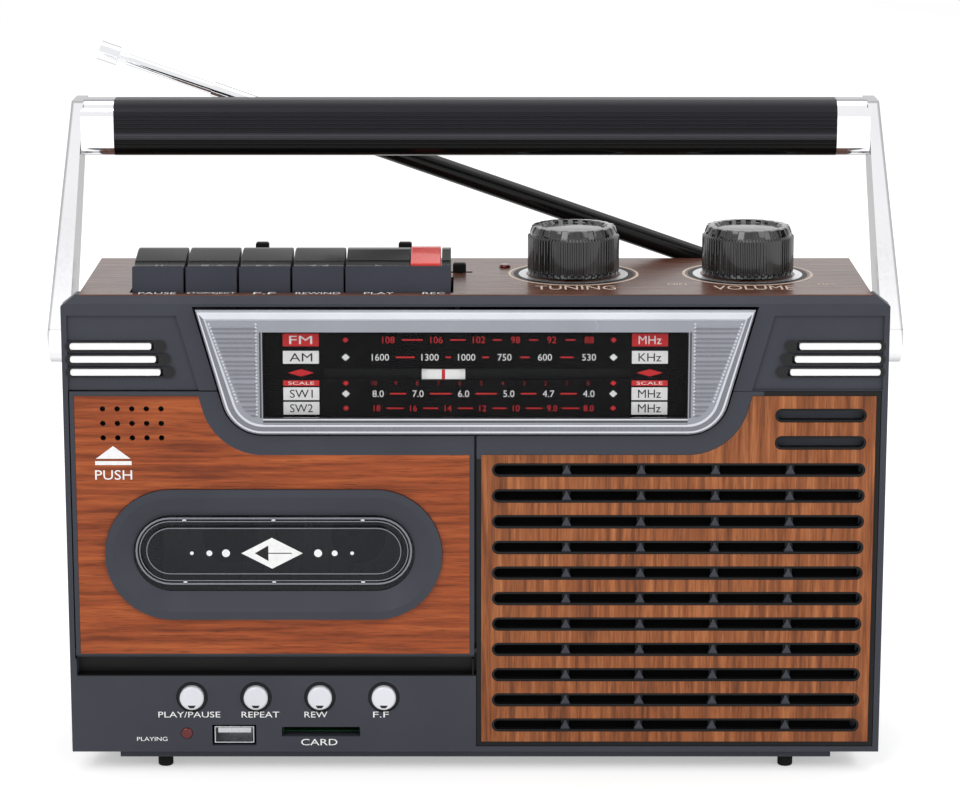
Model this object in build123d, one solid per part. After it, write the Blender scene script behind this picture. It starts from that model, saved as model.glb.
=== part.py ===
"""Portable radio cassette player with a carrying handle and a telescopic antenna.

Frame: millimetres, +X to the right of the front, +Y to the back, +Z up.
The origin lies on the table, midway across the width and the depth.
"""
from build123d import *
import math
import os

# Cabinet
cabinet_width = 266.0
cabinet_depth = 78.0
deck_height = 160.0
wall = 2.5
front_wall = 5.5
bezel_depth = 8.0
bezel_step = 5.0
front_shell_depth = 24.0
bezel_corner_x, bezel_corner_z = 4.5, 3.5
brow_bevel = 2.6
rim_width = 1.8
seat_gap = 0.3
sheet_gap = 0.1
running_gap = 0.05

# Feet and base
foot_height = 4.3
foot_radius = 2.5
foot_inset_x, foot_inset_y = 30.0, 8.0
base_plate_height = 2.7
base_plate_inset = 15.5

# Deck
deck_thickness = 2.0
deck_front_inset = 2.2
antenna_ledge_depth = 7.8
antenna_ledge_drop = 9.2

# Dial
lens_top_half_width = 90.0
lens_bottom_half_width = 78.5
lens_height = 41.0
lens_top_drop = 4.3
lens_proud = 2.5
lens_corner_radius = 13.0
lens_groove = 0.7
lens_skin = 1.6
band_width = 6.4
upper_panel_drop = 31.0
panel_recess = 1.0
scale_width, scale_top_margin = 136.4, 7.4
scale_thickness = 0.8
scale_depth = 2.0
scale_rise = 5.2
slot_width, slot_height = 98.8, 3.6
slot_rise = 12.2
slot_offset = 0.7
pointer_width = 10.5
pointer_rest = -10.3
carriage_thickness = 1.6
carriage_height = 9.0
tray_back = 1.4

# Louvres
louvre_count = 3
louvre_pitch = 4.25
louvre_height = 2.2
louvre_length = 29.0
louvre_step = 1.4
louvre_inset = 2.6
louvre_drop = 16.6
louvre_pocket_depth = 2.4

# Cassette door
seam_half = 0.4
door_gap = 0.4
door_thickness = 3.2
door_bottom_rise = 32.2
door_recess_height = 5.8
door_rim = 1.4
veneer_thickness = 0.6
hinge_rise = 2.2
hinge_pin_radius = 0.9
hinge_pin_length = 2.0
window_length, window_height = 91.3, 25.2
oval_border = 9.2
oval_proud = 1.2
oval_lip = 2.6
window_rise = 67.4
window_thickness = 1.8
mic_columns, mic_rows = 5, 3
mic_pitch_x, mic_pitch_z = 4.72, 4.8
mic_inset, mic_drop = 12.7, 15.7
mic_hole_radius = 0.9

# Cassette and tape mechanism
cassette_width, cassette_height, cassette_thickness = 102.4, 63.8, 12.0
cassette_clearance = 0.5
reel_spacing = 42.5
reel_to_closed_edge = 29.5
mechanism_offset = 5.65
reel_rise = 68.3
pocket_wall = 1.5
pocket_height = 50.0
pocket_lip, pocket_shelf = 8.0, 6.0
chassis_y_offset = 21.2
chassis_thickness = 1.5
reel_table_radius, reel_table_thickness = 9.0, 2.2
spindle_radius = 3.0
spindle_tip_radius = 4.4
spindle_length, spindle_fins = 11.0, 3
capstan_radius, capstan_reach = 1.0, 12.0
capstan_offset_x, capstan_drop = 33.0, 8.0
flywheel_radius = 20.0
flywheel_thickness = 6.0
motor_radius, motor_length = 14.0, 24.0
motor_offset_x, motor_rise = -38.0, 25.0
motor_pulley_radius = 4.0
motor_plate_half_x, motor_plate_half_z = 16.0, 15.0
motor_post_x, motor_post_z, motor_post_radius = 13.0, 12.0, 2.0
chassis_tab_half = 4.0
belt_width, belt_thickness = 2.0, 0.9
head_stroke = 7.0

# Keys
key_pitch = 17.2
key_gap = 0.6
key_inset = 22.1
key_front_inset = 6.7
key_depth = 26.3
key_height = 8.3
key_ridge = 10.3
key_skirt = 6.0
key_pivot_drop = 7.0
key_pivot_back = 4.0
key_shaft_radius = 1.5
key_hub_radius, key_hub_half = 3.2, 3.0
key_lever_half, key_lever_reach, key_lever_drop = 1.0, 9.0, 8.0
record_key_angle = 5.0
key_clearance = 3.2
record_key_width = 9.8
record_key_inset_x, record_key_inset_y = 3.2, 5.2

# Knobs
knob_radius = 15.2
knob_height = 15.6
knob_gap = 0.8
knob_y_offset = 40.0
tuning_from_right, volume_from_right = 100.5, 42.7
shaft_radius = 3.0
flute_count = 36
flute_radius = 0.9
drum_radius = 27.0
drum_thickness = 4.0
board_drop = 32.0
board_thickness = 1.6
control_shaft_rise = 3.0
drum_rise = 14.0
capacitor_half, capacitor_height = 10.0, 11.0
volume_case_radius, volume_case_height = 8.5, 9.0
can_count, can_size, can_pitch = 4, 7.0, 11.0
jar_count, jar_radius, jar_height = 5, 2.5, 8.0

# Slide switches behind the keys
lever_width, lever_depth = 4.4, 3.0
lever_y_offset = 43.0
stem_width = 1.8
switch_levers = (
    ("band_switch_lever", -70.7, 9.0, 10.2),
    ("function_switch_lever", -23.3, 6.0, 10.2),
    ("tone_switch_lever", -5.3, 6.0, 3.2),
)

# Speaker grille
grille_rows = 11
grille_pitch = 8.64
grille_first_rise = 9.2
grille_left, grille_right_inset = 5.4, 6.7
grille_slot_height, grille_slot_lip = 4.5, 0.7
grille_ribs = 4
grille_rib_width = 2.4
grille_short_length = 29.5
grille_panel_depth = 3.4
speaker_radius = 47.0
speaker_lap = 1.7
speaker_x_from_right = 67.0
speaker_rise = 54.0
magnet_radius = 24.0

# Front control panel
button_pitch = 21.03
button_count = 4
button_first = 39.8
button_rise = 18.8
button_radius = 4.0
button_proud = 2.0
button_travel = 1.0
button_ring = 1.2
button_switch_height = 3.5
usb_x_from_left, usb_rise = 53.5, 5.7
usb_width, usb_height, usb_depth = 13.1, 5.7, 14.0
usb_shell = 0.35
usb_cutout_margin = 0.7
card_x_from_left, card_rise = 82.1, 6.9
card_width, card_height, card_depth = 25.0, 2.9, 22.0
led_radius = 1.9
panel_led_x, panel_led_rise = 37.9, 6.4
deck_led_x, deck_led_y = 9.9, 52.7
media_board_depth = 12.5

# Handle
handle_pivot_drop = 17.5
handle_grip_rise = 49.4
grip_inset = 15.0
grip_height, grip_depth = 18.4, 16.0
grip_ridges, grip_ridge_pitch, grip_groove_radius = 9, 1.3, 0.35
arm_top_inset, arm_bottom_outset = 1.5, 8.0
arm_inner_inset = 5.2
arm_half_depth_top, arm_half_depth_bottom = 7.4, 12.0
cap_height = 18.4
stud_radius, stud_length = 4.0, 5.0
stud_shank_radius = 2.0
collar_radius = 7.5

# Antenna
antenna_x = 89.5
antenna_drop = 4.7
antenna_angle = 19.2
antenna_base_length = 148.0
antenna_radii = (3.5, 2.5, 1.85, 1.3)
antenna_bore_gap = 0.06
antenna_shown = (41.0, 30.0, 3.0)
antenna_tube_length = 132.0
antenna_tube_step = 5.0
tip_radius, tip_length = 3.2, 7.0
yoke_radius = 3.8
yoke_slot = 1.6
tongue_radius = 2.6

# Battery bay and rear jacks
cell_diameter, cell_length = 26.2, 50.0
bay_clearance = 2.0
bay_wall = 1.6
bay_flange_lap = 0.5
bay_right = -3.0
bay_rise = 6.0
battery_door_margin = 3.0
thumb_grooves, thumb_groove_pitch = 7, 2.0
contact_half = 8.0
jack_x, jack_rise, jack_spacing = 100.0, 24.0, 24.0
dc_bore_radius, phone_bore_radius = 2.85, 1.8
jack_depth = 11.0
jack_wall = 2.4
jack_block_half = 6.0
dc_pin_radius = 1.0

# Air slots in the back
vent_count, vent_pitch = 8, 7.0
vent_left, vent_rise = 40.0, 84.0
vent_length, vent_width = 30.0, 3.0

# Aerial rod inside
ferrite_radius, ferrite_length = 4.0, 74.0
ferrite_inset, ferrite_setback, ferrite_drop = 15.5, 12.0, 6.0
coil_radius, coil_inset, coil_length = 5.5, 10.0, 16.0
holder_half, holder_inset = 2.0, 4.0

# Screws
screw_radius, screw_head_radius, screw_head_height = 1.5, 2.9, 1.8
column_radius = 4.0
screw_inset_x, screw_inset_z = 4.2, 6.0
screw_seat, screw_reach = 8.0, 10.0

# Places worked out from the sizes
half_w = cabinet_width / 2
body_half = half_w - bezel_step
front_y = -(cabinet_depth - lens_proud) / 2
back_y = front_y + cabinet_depth
split_y = front_y + front_shell_depth
base_z = foot_height + base_plate_height
deck_z = deck_height
ceiling_z = deck_z - deck_thickness
inner_front_y = front_y + front_wall
inner_half = body_half - wall
inner_low_z, inner_high_z = base_z + wall, ceiling_z - wall
ledge_y = back_y - antenna_ledge_depth
ledge_z = deck_z - antenna_ledge_drop
upper_z = deck_z - upper_panel_drop
lens_top_z = deck_z - lens_top_drop
lens_low_z = lens_top_z - lens_height
door_low_z = base_z + door_bottom_rise
door_left = -half_w + rim_width + 0.3
door_right = -seam_half
panel_right = half_w - rim_width - 0.4
grille_low_z = base_z + 2.0
window_x = (door_left + door_right) / 2
window_z = base_z + window_rise
oval_length, oval_height = window_length + 2 * oval_border, window_height + 2 * oval_border
mechanism_x = window_x + mechanism_offset
reel_z = base_z + reel_rise
chassis_y = front_y + chassis_y_offset
key_left = -half_w + key_inset
key_front_y = front_y + key_front_inset
key_back_y = key_front_y + key_depth
key_pivot_y, key_pivot_z = key_back_y - key_pivot_back, deck_z - key_pivot_drop
tuning_x, volume_x = half_w - tuning_from_right, half_w - volume_from_right
knob_y = front_y + knob_y_offset
board_z = deck_z - board_drop
lever_y = front_y + lever_y_offset
speaker_x, speaker_z = half_w - speaker_x_from_right, base_z + speaker_rise
handle_y = (front_y + back_y) / 2
pivot_z = deck_z - handle_pivot_drop
grip_z = deck_z + handle_grip_rise
grip_half_length = half_w - grip_inset
arm_top_x, arm_bottom_x = half_w - arm_top_inset, half_w + arm_bottom_outset
arm_inner_top = half_w - arm_inner_inset
antenna_y = ledge_y + 0.4 + antenna_radii[0]
antenna_z = deck_z - antenna_drop
scale_front_y = front_y + scale_depth
scale_low_z = lens_low_z + scale_rise
scale_height = lens_height - scale_rise - scale_top_margin
slot_low_z = scale_low_z + slot_rise
media_board_y = front_y + media_board_depth
capstan_x = mechanism_x + capstan_offset_x
capstan_z = reel_z - reel_to_closed_edge + cassette_height - capstan_drop
motor_x, motor_z = mechanism_x + motor_offset_x, reel_z + motor_rise
flywheel_y = chassis_y + chassis_thickness + 2.0
belt_y = flywheel_y + 2.0
bay_length = 2 * cell_length + bay_clearance * 2
bay_left = bay_right - bay_length
bay_low_z = base_z + bay_rise
bay_high_z = bay_low_z + 2 * cell_diameter + bay_clearance
bay_depth = cell_diameter + 0.8
bay_back_y = back_y - wall
bay_front_y = bay_back_y - bay_depth

os.makedirs("parts", exist_ok=True)


def write(name, *solids):
    """Write one named piece, made of one or more solids."""
    found = [s for shape in solids for s in shape.solids()]
    export_step(found[0] if len(found) == 1 else Compound(found), f"parts/{name}.step")


def block(x, y, z):
    """A box from three (low, high) pairs."""
    middle = [(low + high) / 2 for low, high in (x, y, z)]
    return Pos(*middle) * Box(x[1] - x[0], y[1] - y[0], z[1] - z[0])


def rod(radius, start, end):
    """A round bar between two points."""
    start, end = Vector(*start), Vector(*end)
    align = (Align.CENTER, Align.CENTER, Align.MIN)
    return Plane(start, z_dir=end - start) * Cylinder(radius, (end - start).length, align=align)


def along_y(radius, x, z, y0, y1):
    return rod(radius, (x, y0, z), (x, y1, z))


def along_z(radius, x, y, z0, z1):
    return rod(radius, (x, y, z0), (x, y, z1))


def front_solid(sketch, y0, y1):
    """Push a sketch drawn in X and Z from one depth to another."""
    return extrude(Plane((0, y1, 0), x_dir=(1, 0, 0), z_dir=(0, -1, 0)) * sketch, y1 - y0)


def side_solid(sketch, x0, x1):
    """Push a sketch drawn in Y and Z from one width to another."""
    return extrude(Plane((x0, 0, 0), x_dir=(0, 1, 0), z_dir=(1, 0, 0)) * sketch, x1 - x0)


def rect(x0, x1, z0, z1, radius=0.0):
    """An upright rectangle between limits, with rounded corners if a radius is given."""
    shape = RectangleRounded(x1 - x0, z1 - z0, radius) if radius else Rectangle(x1 - x0, z1 - z0)
    return Pos((x0 + x1) / 2, (z0 + z1) / 2) * shape


def stadium(x, z, length, height):
    """A slot outline with round ends, by its overall size."""
    return Pos(x, z) * SlotOverall(length, height)


def polygon(*points):
    return make_face(Polyline(*points, close=True))


def lens_outline(grow=0.0):
    """The dial lens seen from the front: a trapezium with round lower corners."""
    top, low = lens_top_half_width, lens_bottom_half_width
    face = polygon((-top, lens_top_z), (top, lens_top_z), (low, lens_low_z), (-low, lens_low_z))
    face = fillet(face.vertices().group_by(Axis.Y)[0], lens_corner_radius)
    return offset(face, grow, kind=Kind.INTERSECTION) if grow else face


def bezel_outline():
    """The wide front rim, with its upper corners cut."""
    cut_x, cut_z = half_w - bezel_corner_x, deck_z - bezel_corner_z
    return polygon((-half_w, base_z), (half_w, base_z), (half_w, cut_z), (cut_x, deck_z),
                   (-cut_x, deck_z), (-half_w, cut_z))


def door_outline(shrink=0.0):
    """The cassette door, notched round the dial lens."""
    face = rect(door_left + shrink, door_right - shrink, door_low_z + shrink, upper_z - door_gap - shrink)
    return face - lens_outline(lens_groove + shrink)


def grille_outline(shrink=0.0):
    face = rect(seam_half + shrink, panel_right - shrink, grille_low_z + shrink,
                upper_z - door_gap - shrink)
    return face - lens_outline(lens_groove + shrink)


def wood_outline(face):
    """What is left of a front panel outside the plain band round the lens."""
    return face - lens_outline(lens_groove + band_width)


# Screw columns shared by the two shells
screw_places = [(side * (inner_half - screw_inset_x), z) for side in (-1, 1)
                for z in (inner_low_z + screw_inset_z, inner_high_z - 2 * screw_inset_z)]
screw_places.append((bay_right + 8.0, inner_low_z + screw_inset_z))


def grille_slots(margin=0.0):
    """The long and short sound slots, as (centre x, centre z, length, height)."""
    left, right = grille_left, half_w - grille_right_inset
    rows = [((left + right) / 2, base_z + grille_first_rise + i * grille_pitch, right - left)
            for i in range(grille_rows)]
    for step in (1, 2):
        z = rows[grille_rows - 1][1] + step * grille_pitch + 0.4 * step
        rows.append((right - grille_short_length / 2, z, grille_short_length))
    return [(x, z, length - 2 * margin, grille_slot_height - 2 * margin) for x, z, length in rows]


def louvre_bars(side):
    """The bars of one louvre, as (outer x, inner x, centre z); each lower bar a little longer."""
    outer = side * (half_w - louvre_inset)
    bars = []
    for i in range(louvre_count):
        inner = outer - side * (louvre_length - louvre_step * (louvre_count - 1 - i))
        bars.append((outer, inner, upper_z + louvre_drop - 2.2 - i * louvre_pitch))
    return bars


def front_cabinet():
    shell = front_solid(bezel_outline(), front_y, front_y + bezel_depth)
    shell += block((-body_half, body_half), (front_y + bezel_depth, split_y), (base_z, ceiling_z))
    edges = shell.edges().filter_by(Axis.X).group_by(Axis.Z)[-1].sort_by(Axis.Y)
    shell = chamfer(edges[0], brow_bevel)
    shell -= block((-inner_half, inner_half), (inner_front_y, split_y), (inner_low_z, inner_high_z))
    shell -= block((-body_half + 0.5, body_half - 0.5), (front_y + deck_front_inset, split_y + 1),
                   (ceiling_z, deck_z + 1))
    upper = rect(-half_w + rim_width, half_w - rim_width, upper_z, deck_z - 6.5)
    shell -= front_solid(upper, front_y, front_y + panel_recess)
    band = lens_outline(band_width) - lens_outline(lens_groove) - rect(-half_w, half_w, 0, upper_z)
    band -= rect(-half_w, half_w, deck_z - 6.5, 2 * deck_z)
    shell += front_solid(band, front_y, front_y + panel_recess)
    shell -= front_solid(lens_outline(lens_groove), front_y, inner_front_y + 1)
    for side in (-1, 1):
        for outer, inner, z in louvre_bars(side):
            low, high = sorted((outer + side * 0.5, inner - side * 0.9))
            pocket = rect(low, high, z - louvre_height / 2 - 0.7, z + louvre_height / 2 + 0.7, 0.9)
            shell -= front_solid(pocket, front_y, front_y + panel_recess + louvre_pocket_depth)
    shell -= front_solid(door_outline(-door_gap), front_y, front_y + door_thickness + seat_gap)
    shell -= front_solid(rect(door_left, -1.0, door_low_z - door_recess_height, door_low_z + 1),
                         front_y, front_y + door_thickness + 1.2)
    shell -= front_solid(rect(door_left, door_right, door_low_z, door_low_z + 6), front_y,
                         front_y + door_thickness + 1.2)
    cassette_opening = rect(-inner_half + 4, -3.5, door_low_z + 3, lens_low_z - 1.0)
    shell -= front_solid(cassette_opening, front_y, inner_front_y + 1)
    shell -= front_solid(rect(-0.6, 0.6, door_low_z - door_recess_height, lens_low_z), front_y,
                         front_y + door_thickness + seat_gap)
    shell -= rod(hinge_pin_radius + running_gap, (door_left - hinge_pin_length, hinge_y, hinge_z),
                 (door_left, hinge_y, hinge_z))
    shell -= deck_cutouts(0.5, inner_high_z - 1, deck_z)
    shell -= front_solid(grille_outline(-0.2), front_y, front_y + grille_panel_depth)
    sound_top = speaker_z + speaker_radius - speaker_lap
    sound_opening = rect(seam_half + 3, panel_right - 6, grille_low_z + 3.5, sound_top)
    shell -= front_solid(sound_opening, front_y, inner_front_y + 1)
    for i in range(button_count):
        x = -half_w + button_first + i * button_pitch
        z = base_z + button_rise
        shell -= along_y(button_radius + button_ring, x, z, front_y, front_y + 1.0)
        shell -= along_y(button_radius + seat_gap, x, z, front_y, inner_front_y + 1)
    usb_x, usb_z = -half_w + usb_x_from_left, base_z + usb_rise
    half_u, half_v = usb_width / 2 + usb_cutout_margin, usb_height / 2 + usb_cutout_margin
    through = (front_y, inner_front_y + 1)
    shell -= block((usb_x - half_u, usb_x + half_u), through, (usb_z - half_v, usb_z + half_v))
    card_x, card_z = -half_w + card_x_from_left, base_z + card_rise
    half_u, half_v = card_width / 2 + 0.4, card_height / 2 + 0.2
    shell -= block((card_x - half_u, card_x + half_u), through, (card_z - half_v, card_z + half_v))
    shell -= along_y(led_radius + running_gap, -half_w + panel_led_x, base_z + panel_led_rise, front_y,
                     inner_front_y + 1)
    for x, z in screw_places:
        column = along_y(column_radius, x, z, inner_front_y - 1, split_y)
        shell += column - along_y(screw_radius + running_gap, x, z, split_y - screw_reach - 2, split_y)
    return shell


def rear_cabinet():
    """The rear moulding in two nodes that meet at the antenna's ledge: the shell, and the frame above it."""
    shell = block((-body_half, body_half), (split_y, back_y), (base_z, ceiling_z))
    upright = shell.edges().filter_by(Axis.Z).group_by(Axis.Y)[-1]
    shell = fillet(upright, 3.0)
    shell -= block((-inner_half, inner_half), (split_y, back_y - wall), (inner_low_z, inner_high_z))
    shell -= block((-body_half - 1, body_half + 1), (ledge_y, back_y + 1), (ledge_z, deck_z))
    shell += block((-inner_half - 1, inner_half + 1), (ledge_y - wall, ledge_y), (ledge_z - wall, ceiling_z))
    shell += block((-inner_half - 1, inner_half + 1), (ledge_y - wall, back_y - 1), (ledge_z - wall, ledge_z))
    shell -= battery_door_block(battery_door_margin + door_gap, 0.0, 0.4)
    for x, z in screw_places:
        shell += along_y(column_radius, x, z, split_y, back_y - 1)
        shell -= along_y(screw_radius + running_gap, x, z, split_y - 1, back_y + 1)
        shell -= along_y(screw_head_radius + seat_gap, x, z, split_y + screw_seat, back_y + 1)
    for side in (-1, 1):
        shell -= rod(stud_shank_radius + running_gap, (side * (inner_half - 0.1), handle_y, pivot_z),
                     (side * (body_half + 1), handle_y, pivot_z))
    shell -= deck_cutouts(0.5, inner_high_z - 1, deck_z)
    for x, bore in jack_places():
        shell -= along_y(bore + jack_wall + running_gap, x, base_z + jack_rise, back_y - wall - 1, back_y + 1)
    seat = along_z(5.4, antenna_x, antenna_y, ledge_z - wall, ledge_z)
    shell = shell + seat - along_z(2.0 + running_gap, antenna_x, antenna_y, ledge_z - wall - 4, ledge_z + 1)
    upright_slot = Rotation(0, 0, 90) * SlotOverall(vent_length, vent_width)
    for i in range(vent_count):
        place = Pos(vent_left + i * vent_pitch, base_z + vent_rise)
        shell -= front_solid(place * upright_slot, back_y - wall - 1, back_y + 1)
    width, depth = (-half_w, half_w), (split_y - 1, back_y + 1)
    return shell & block(width, depth, (0, ledge_z)), shell & block(width, depth, (ledge_z, deck_z))


def battery_bay():
    """The box for the cells, with a flange that seats on the rear wall around the door's opening."""
    bay = block((bay_left - bay_wall, bay_right + bay_wall), (bay_front_y - bay_wall, bay_back_y),
                (bay_low_z - bay_wall, bay_high_z + bay_wall))
    reach = battery_door_margin + door_gap + bay_flange_lap
    bay += block((bay_left - reach, bay_right + reach), (bay_back_y - bay_wall, bay_back_y),
                 (bay_low_z - bay_wall, bay_high_z + reach))
    bay -= block((bay_left, bay_right), (bay_front_y, back_y + 1), (bay_low_z, bay_high_z))
    middle = bay_low_z + cell_diameter + bay_clearance / 2
    return bay + block((bay_left, bay_right), (bay_front_y - 0.5, bay_front_y + 6), (middle - 0.8, middle + 0.8))


def jack_places():
    return (jack_x, dc_bore_radius), (jack_x - jack_spacing, phone_bore_radius)


def battery_door_block(margin, front, back):
    return block((bay_left - margin, bay_right + margin), (bay_back_y - front, back_y + back),
                 (bay_low_z - margin, bay_high_z + margin))


def deck_cutouts(extra, z0, z1):
    """The openings in the deck for keys, knob shafts and switch levers."""
    cut = block((key_left - extra - 0.4, key_left + 6 * key_pitch + extra + 0.6),
                (key_front_y - 1.4 - extra, key_back_y + 0.8 + extra), (z0, z1))
    for x in (tuning_x, volume_x):
        cut += along_z(shaft_radius + 0.6 + extra, x, knob_y, z0, z1)
    cut += along_z(led_radius + running_gap + extra, deck_led_x, front_y + deck_led_y, z0, z1)
    for _, x, travel, _ in switch_levers:
        reach = travel / 2 + stem_width / 2 + 0.4 + extra
        half = stem_width / 2 + seat_gap + extra
        cut += block((x - reach, x + reach), (lever_y - half, lever_y + half), (z0, z1))
    return cut


def top_deck():
    plate = block((-body_half + 0.6, body_half - 0.6), (front_y + deck_front_inset + sheet_gap, ledge_y),
                  (ceiling_z, deck_z))
    return plate - deck_cutouts(0.0, ceiling_z - 1, deck_z + 1)


def speaker():
    """Basket with its magnet, and the cone that hangs in it."""
    y0 = inner_front_y
    rim, depth = speaker_radius, 17.0
    half = polygon((rim - 5, 0), (rim, 0), (rim, 2), (rim - 4.5, 2), (magnet_radius - 3, depth),
                   (magnet_radius, depth), (magnet_radius, depth + 14), (0, depth + 14), (0, depth + 2),
                   (11.0, depth + 2), (11.0, depth + 10), (13.5, depth + 10), (13.5, depth - 1.4),
                   (magnet_radius - 4, depth - 1.4), (rim - 5.8, 1.2))
    cone = polygon((rim - 6.2, 0.6), (rim - 8, 0.2), (13.0, depth - 5), (9, depth - 8),
                   (0, depth - 9.5), (0, depth - 8.8), (8.6, depth - 7.2), (11.8, depth - 4),
                   (11.8, depth + 6), (12.6, depth + 6), (12.6, depth - 3.4), (rim - 8, 1.0),
                   (rim - 6.2, 1.0))
    place = Location(Plane((speaker_x, y0, speaker_z), x_dir=(1, 0, 0), z_dir=(0, 1, 0)))
    turned = [revolve(Plane.XZ * face, Axis.Z) for face in (half, cone)]
    return [place * shape for shape in turned]


hinge_y, hinge_z = front_y + door_thickness / 2, door_low_z + hinge_rise


def door_frame():
    face = door_outline()
    frame = front_solid(face, front_y, front_y + door_thickness)
    wood = wood_outline(door_outline(door_rim))
    frame -= front_solid(wood, front_y, front_y + veneer_thickness)
    frame += front_solid(stadium(window_x, window_z, oval_length, oval_height), front_y - oval_proud,
                         front_y + door_thickness)
    lip = stadium(window_x, window_z, oval_length - 2 * oval_lip, oval_height - 2 * oval_lip)
    inner = stadium(window_x, window_z, window_length + 0.4, window_height + 0.4)
    dish_y = front_y + 1.4
    planes = [Plane((0, y, 0), x_dir=(1, 0, 0), z_dir=(0, -1, 0)) for y in (front_y - oval_proud, dish_y)]
    frame -= loft([planes[0] * lip, planes[1] * inner], ruled=True)
    frame -= front_solid(inner, dish_y - 0.01, front_y + door_thickness)
    lower = block((door_left, door_right), (front_y, hinge_y), (door_low_z, door_low_z + 1.0))
    frame -= lower
    for x0, x1 in ((door_left - hinge_pin_length + seat_gap, door_left + 2),
                   (door_right - 2, door_right + hinge_pin_length)):
        frame += rod(hinge_pin_radius, (x0, hinge_y, hinge_z), (x1, hinge_y, hinge_z))
    for x, z in mic_holes():
        frame -= along_y(mic_hole_radius, x, z, front_y - 1, front_y + door_thickness + 1)
    return frame


def mic_holes():
    x0, z0 = -half_w + mic_inset, upper_z - mic_drop
    return [(x0 + i * mic_pitch_x, z0 + j * mic_pitch_z)
            for i in range(mic_columns) for j in range(mic_rows)]


def door_veneer():
    wood = wood_outline(door_outline(door_rim + sheet_gap))
    wood -= stadium(window_x, window_z, oval_length + 0.2, oval_height + 0.2)
    sheet = front_solid(wood, front_y, front_y + veneer_thickness)
    for x, z in mic_holes():
        sheet -= along_y(mic_hole_radius, x, z, front_y - 1, front_y + 2)
    return sheet


def door_window():
    """The clear window, raised in its middle, with a flange behind the door."""
    face = stadium(window_x, window_z, window_length, window_height)
    raised = stadium(window_x, window_z, window_length - 7, window_height - 7)
    pane = front_solid(face, front_y + door_thickness - window_thickness, front_y + door_thickness)
    pane += front_solid(raised, front_y + 0.2, front_y + door_thickness)
    hollow = stadium(window_x, window_z, window_length - 10, window_height - 10)
    return pane - front_solid(hollow, front_y + 1.8, front_y + door_thickness)


def cassette_pocket():
    """Two guides and a shelf on the door's back that hold the cassette."""
    y0 = front_y + door_thickness
    half = cassette_width / 2 + cassette_clearance
    low = reel_z - reel_to_closed_edge - cassette_clearance
    back = y0 + 1.6 + cassette_thickness + cassette_clearance
    left, right, high = mechanism_x - half, mechanism_x + half, low + pocket_height
    outer = block((left - pocket_wall, right + pocket_wall), (y0, back + pocket_wall),
                  (low - pocket_wall, high))
    inner = block((left, right), (y0 - 1, back), (low, high + 1))
    mouth = block((left + pocket_lip, right - pocket_lip), (y0, back + 3), (low + pocket_shelf, high + 1))
    return outer - inner - mouth


def key_profile(front, back):
    """A key seen from its side: upright front, dished finger rest and a ridge behind."""
    foot, edge, ridge = deck_z - key_skirt, deck_z + key_height, deck_z + key_ridge
    brink, rest_end = (front + 1.2, edge), (front + 10.8, edge + 0.2)
    corners = [rest_end, (back - 5.0, ridge), (back - 1.4, ridge), (back, edge), (back, foot),
               (front, foot), (front, deck_z), brink]
    finger_rest = ThreePointArc(brink, (front + 5.6, edge - 0.9), rest_end)
    return make_face([Polyline(*corners), finger_rest])


def key(x0, x1, notch=None):
    """A key with its bored hub on the shaft and its lever down to the mechanism."""
    body = side_solid(key_profile(key_front_y, key_back_y), x0, x1)
    if notch:
        body -= block(notch, (key_front_y + record_key_inset_y - seat_gap, key_back_y + 1),
                      (deck_z - 20, deck_z + 20))
        x1 = notch[0]
    middle = (x0 + x1) / 2
    lever = (middle - key_lever_half, middle + key_lever_half)
    tip_y, lever_top = key_pivot_y - key_lever_reach, key_pivot_z + key_hub_half
    body += key_hub(middle)
    body += block(lever, (tip_y, key_pivot_y), (key_pivot_z - 1.2, lever_top))
    body += block(lever, (tip_y, tip_y + 4), (key_pivot_z - key_lever_drop, lever_top))
    return body - key_shaft(running_gap)


def key_hub(middle):
    """The hub that hangs a key on the shaft."""
    x = (middle - key_hub_half, middle + key_hub_half)
    web = block(x, (key_pivot_y - key_hub_radius, key_pivot_y + key_hub_radius), (key_pivot_z, ceiling_z))
    return web + rod(key_hub_radius, (x[0], key_pivot_y, key_pivot_z), (x[1], key_pivot_y, key_pivot_z))


def key_shaft(extra=0.0):
    return rod(key_shaft_radius + extra, (key_left - 4.5, key_pivot_y, key_pivot_z),
               (key_left + 6 * key_pitch + 4.5, key_pivot_y, key_pivot_z))


def record_key(x0, x1):
    """The narrow record key: its front leans back as far as the key swings."""
    front = key_front_y + record_key_inset_y
    lean = (key_height + key_pivot_drop) * math.sin(math.radians(record_key_angle))
    foot, edge, ridge = deck_z - key_skirt, deck_z + key_height, deck_z + key_ridge + 0.4
    side = polygon((front, foot), (front + lean, edge - 0.4), (front + lean + 0.4, edge),
                   (key_back_y - 5, ridge), (key_back_y - 1.2, ridge), (key_back_y, edge), (key_back_y, foot))
    return side_solid(side, x0, x1) + key_hub((x0 + x1) / 2) - key_shaft(running_gap)


def knob(x, low_z):
    """A fluted knob with a raised rim on top and its shaft down to the board."""
    base = deck_z + knob_gap
    body = along_z(knob_radius - 0.9, x, knob_y, base, base + knob_height)
    body += along_z(knob_radius, x, knob_y, base, base + knob_height - 4.0)
    body -= along_z(knob_radius - 4.0, x, knob_y, base + knob_height - 1.4, base + knob_height + 1)
    for i in range(flute_count):
        angle = 2 * math.pi * i / flute_count
        fx, fy = x + knob_radius * math.cos(angle), knob_y + knob_radius * math.sin(angle)
        body -= along_z(flute_radius, fx, fy, base + 2.0, base + knob_height - 4.0 + 1)
    mark = block((x - 1.0, x + 1.0), (knob_y - knob_radius + 0.6, knob_y - knob_radius + 5),
                 (base + knob_height - 1.0, base + knob_height + 1))
    return body - mark + along_z(shaft_radius, x, knob_y, low_z, base + 1)


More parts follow.
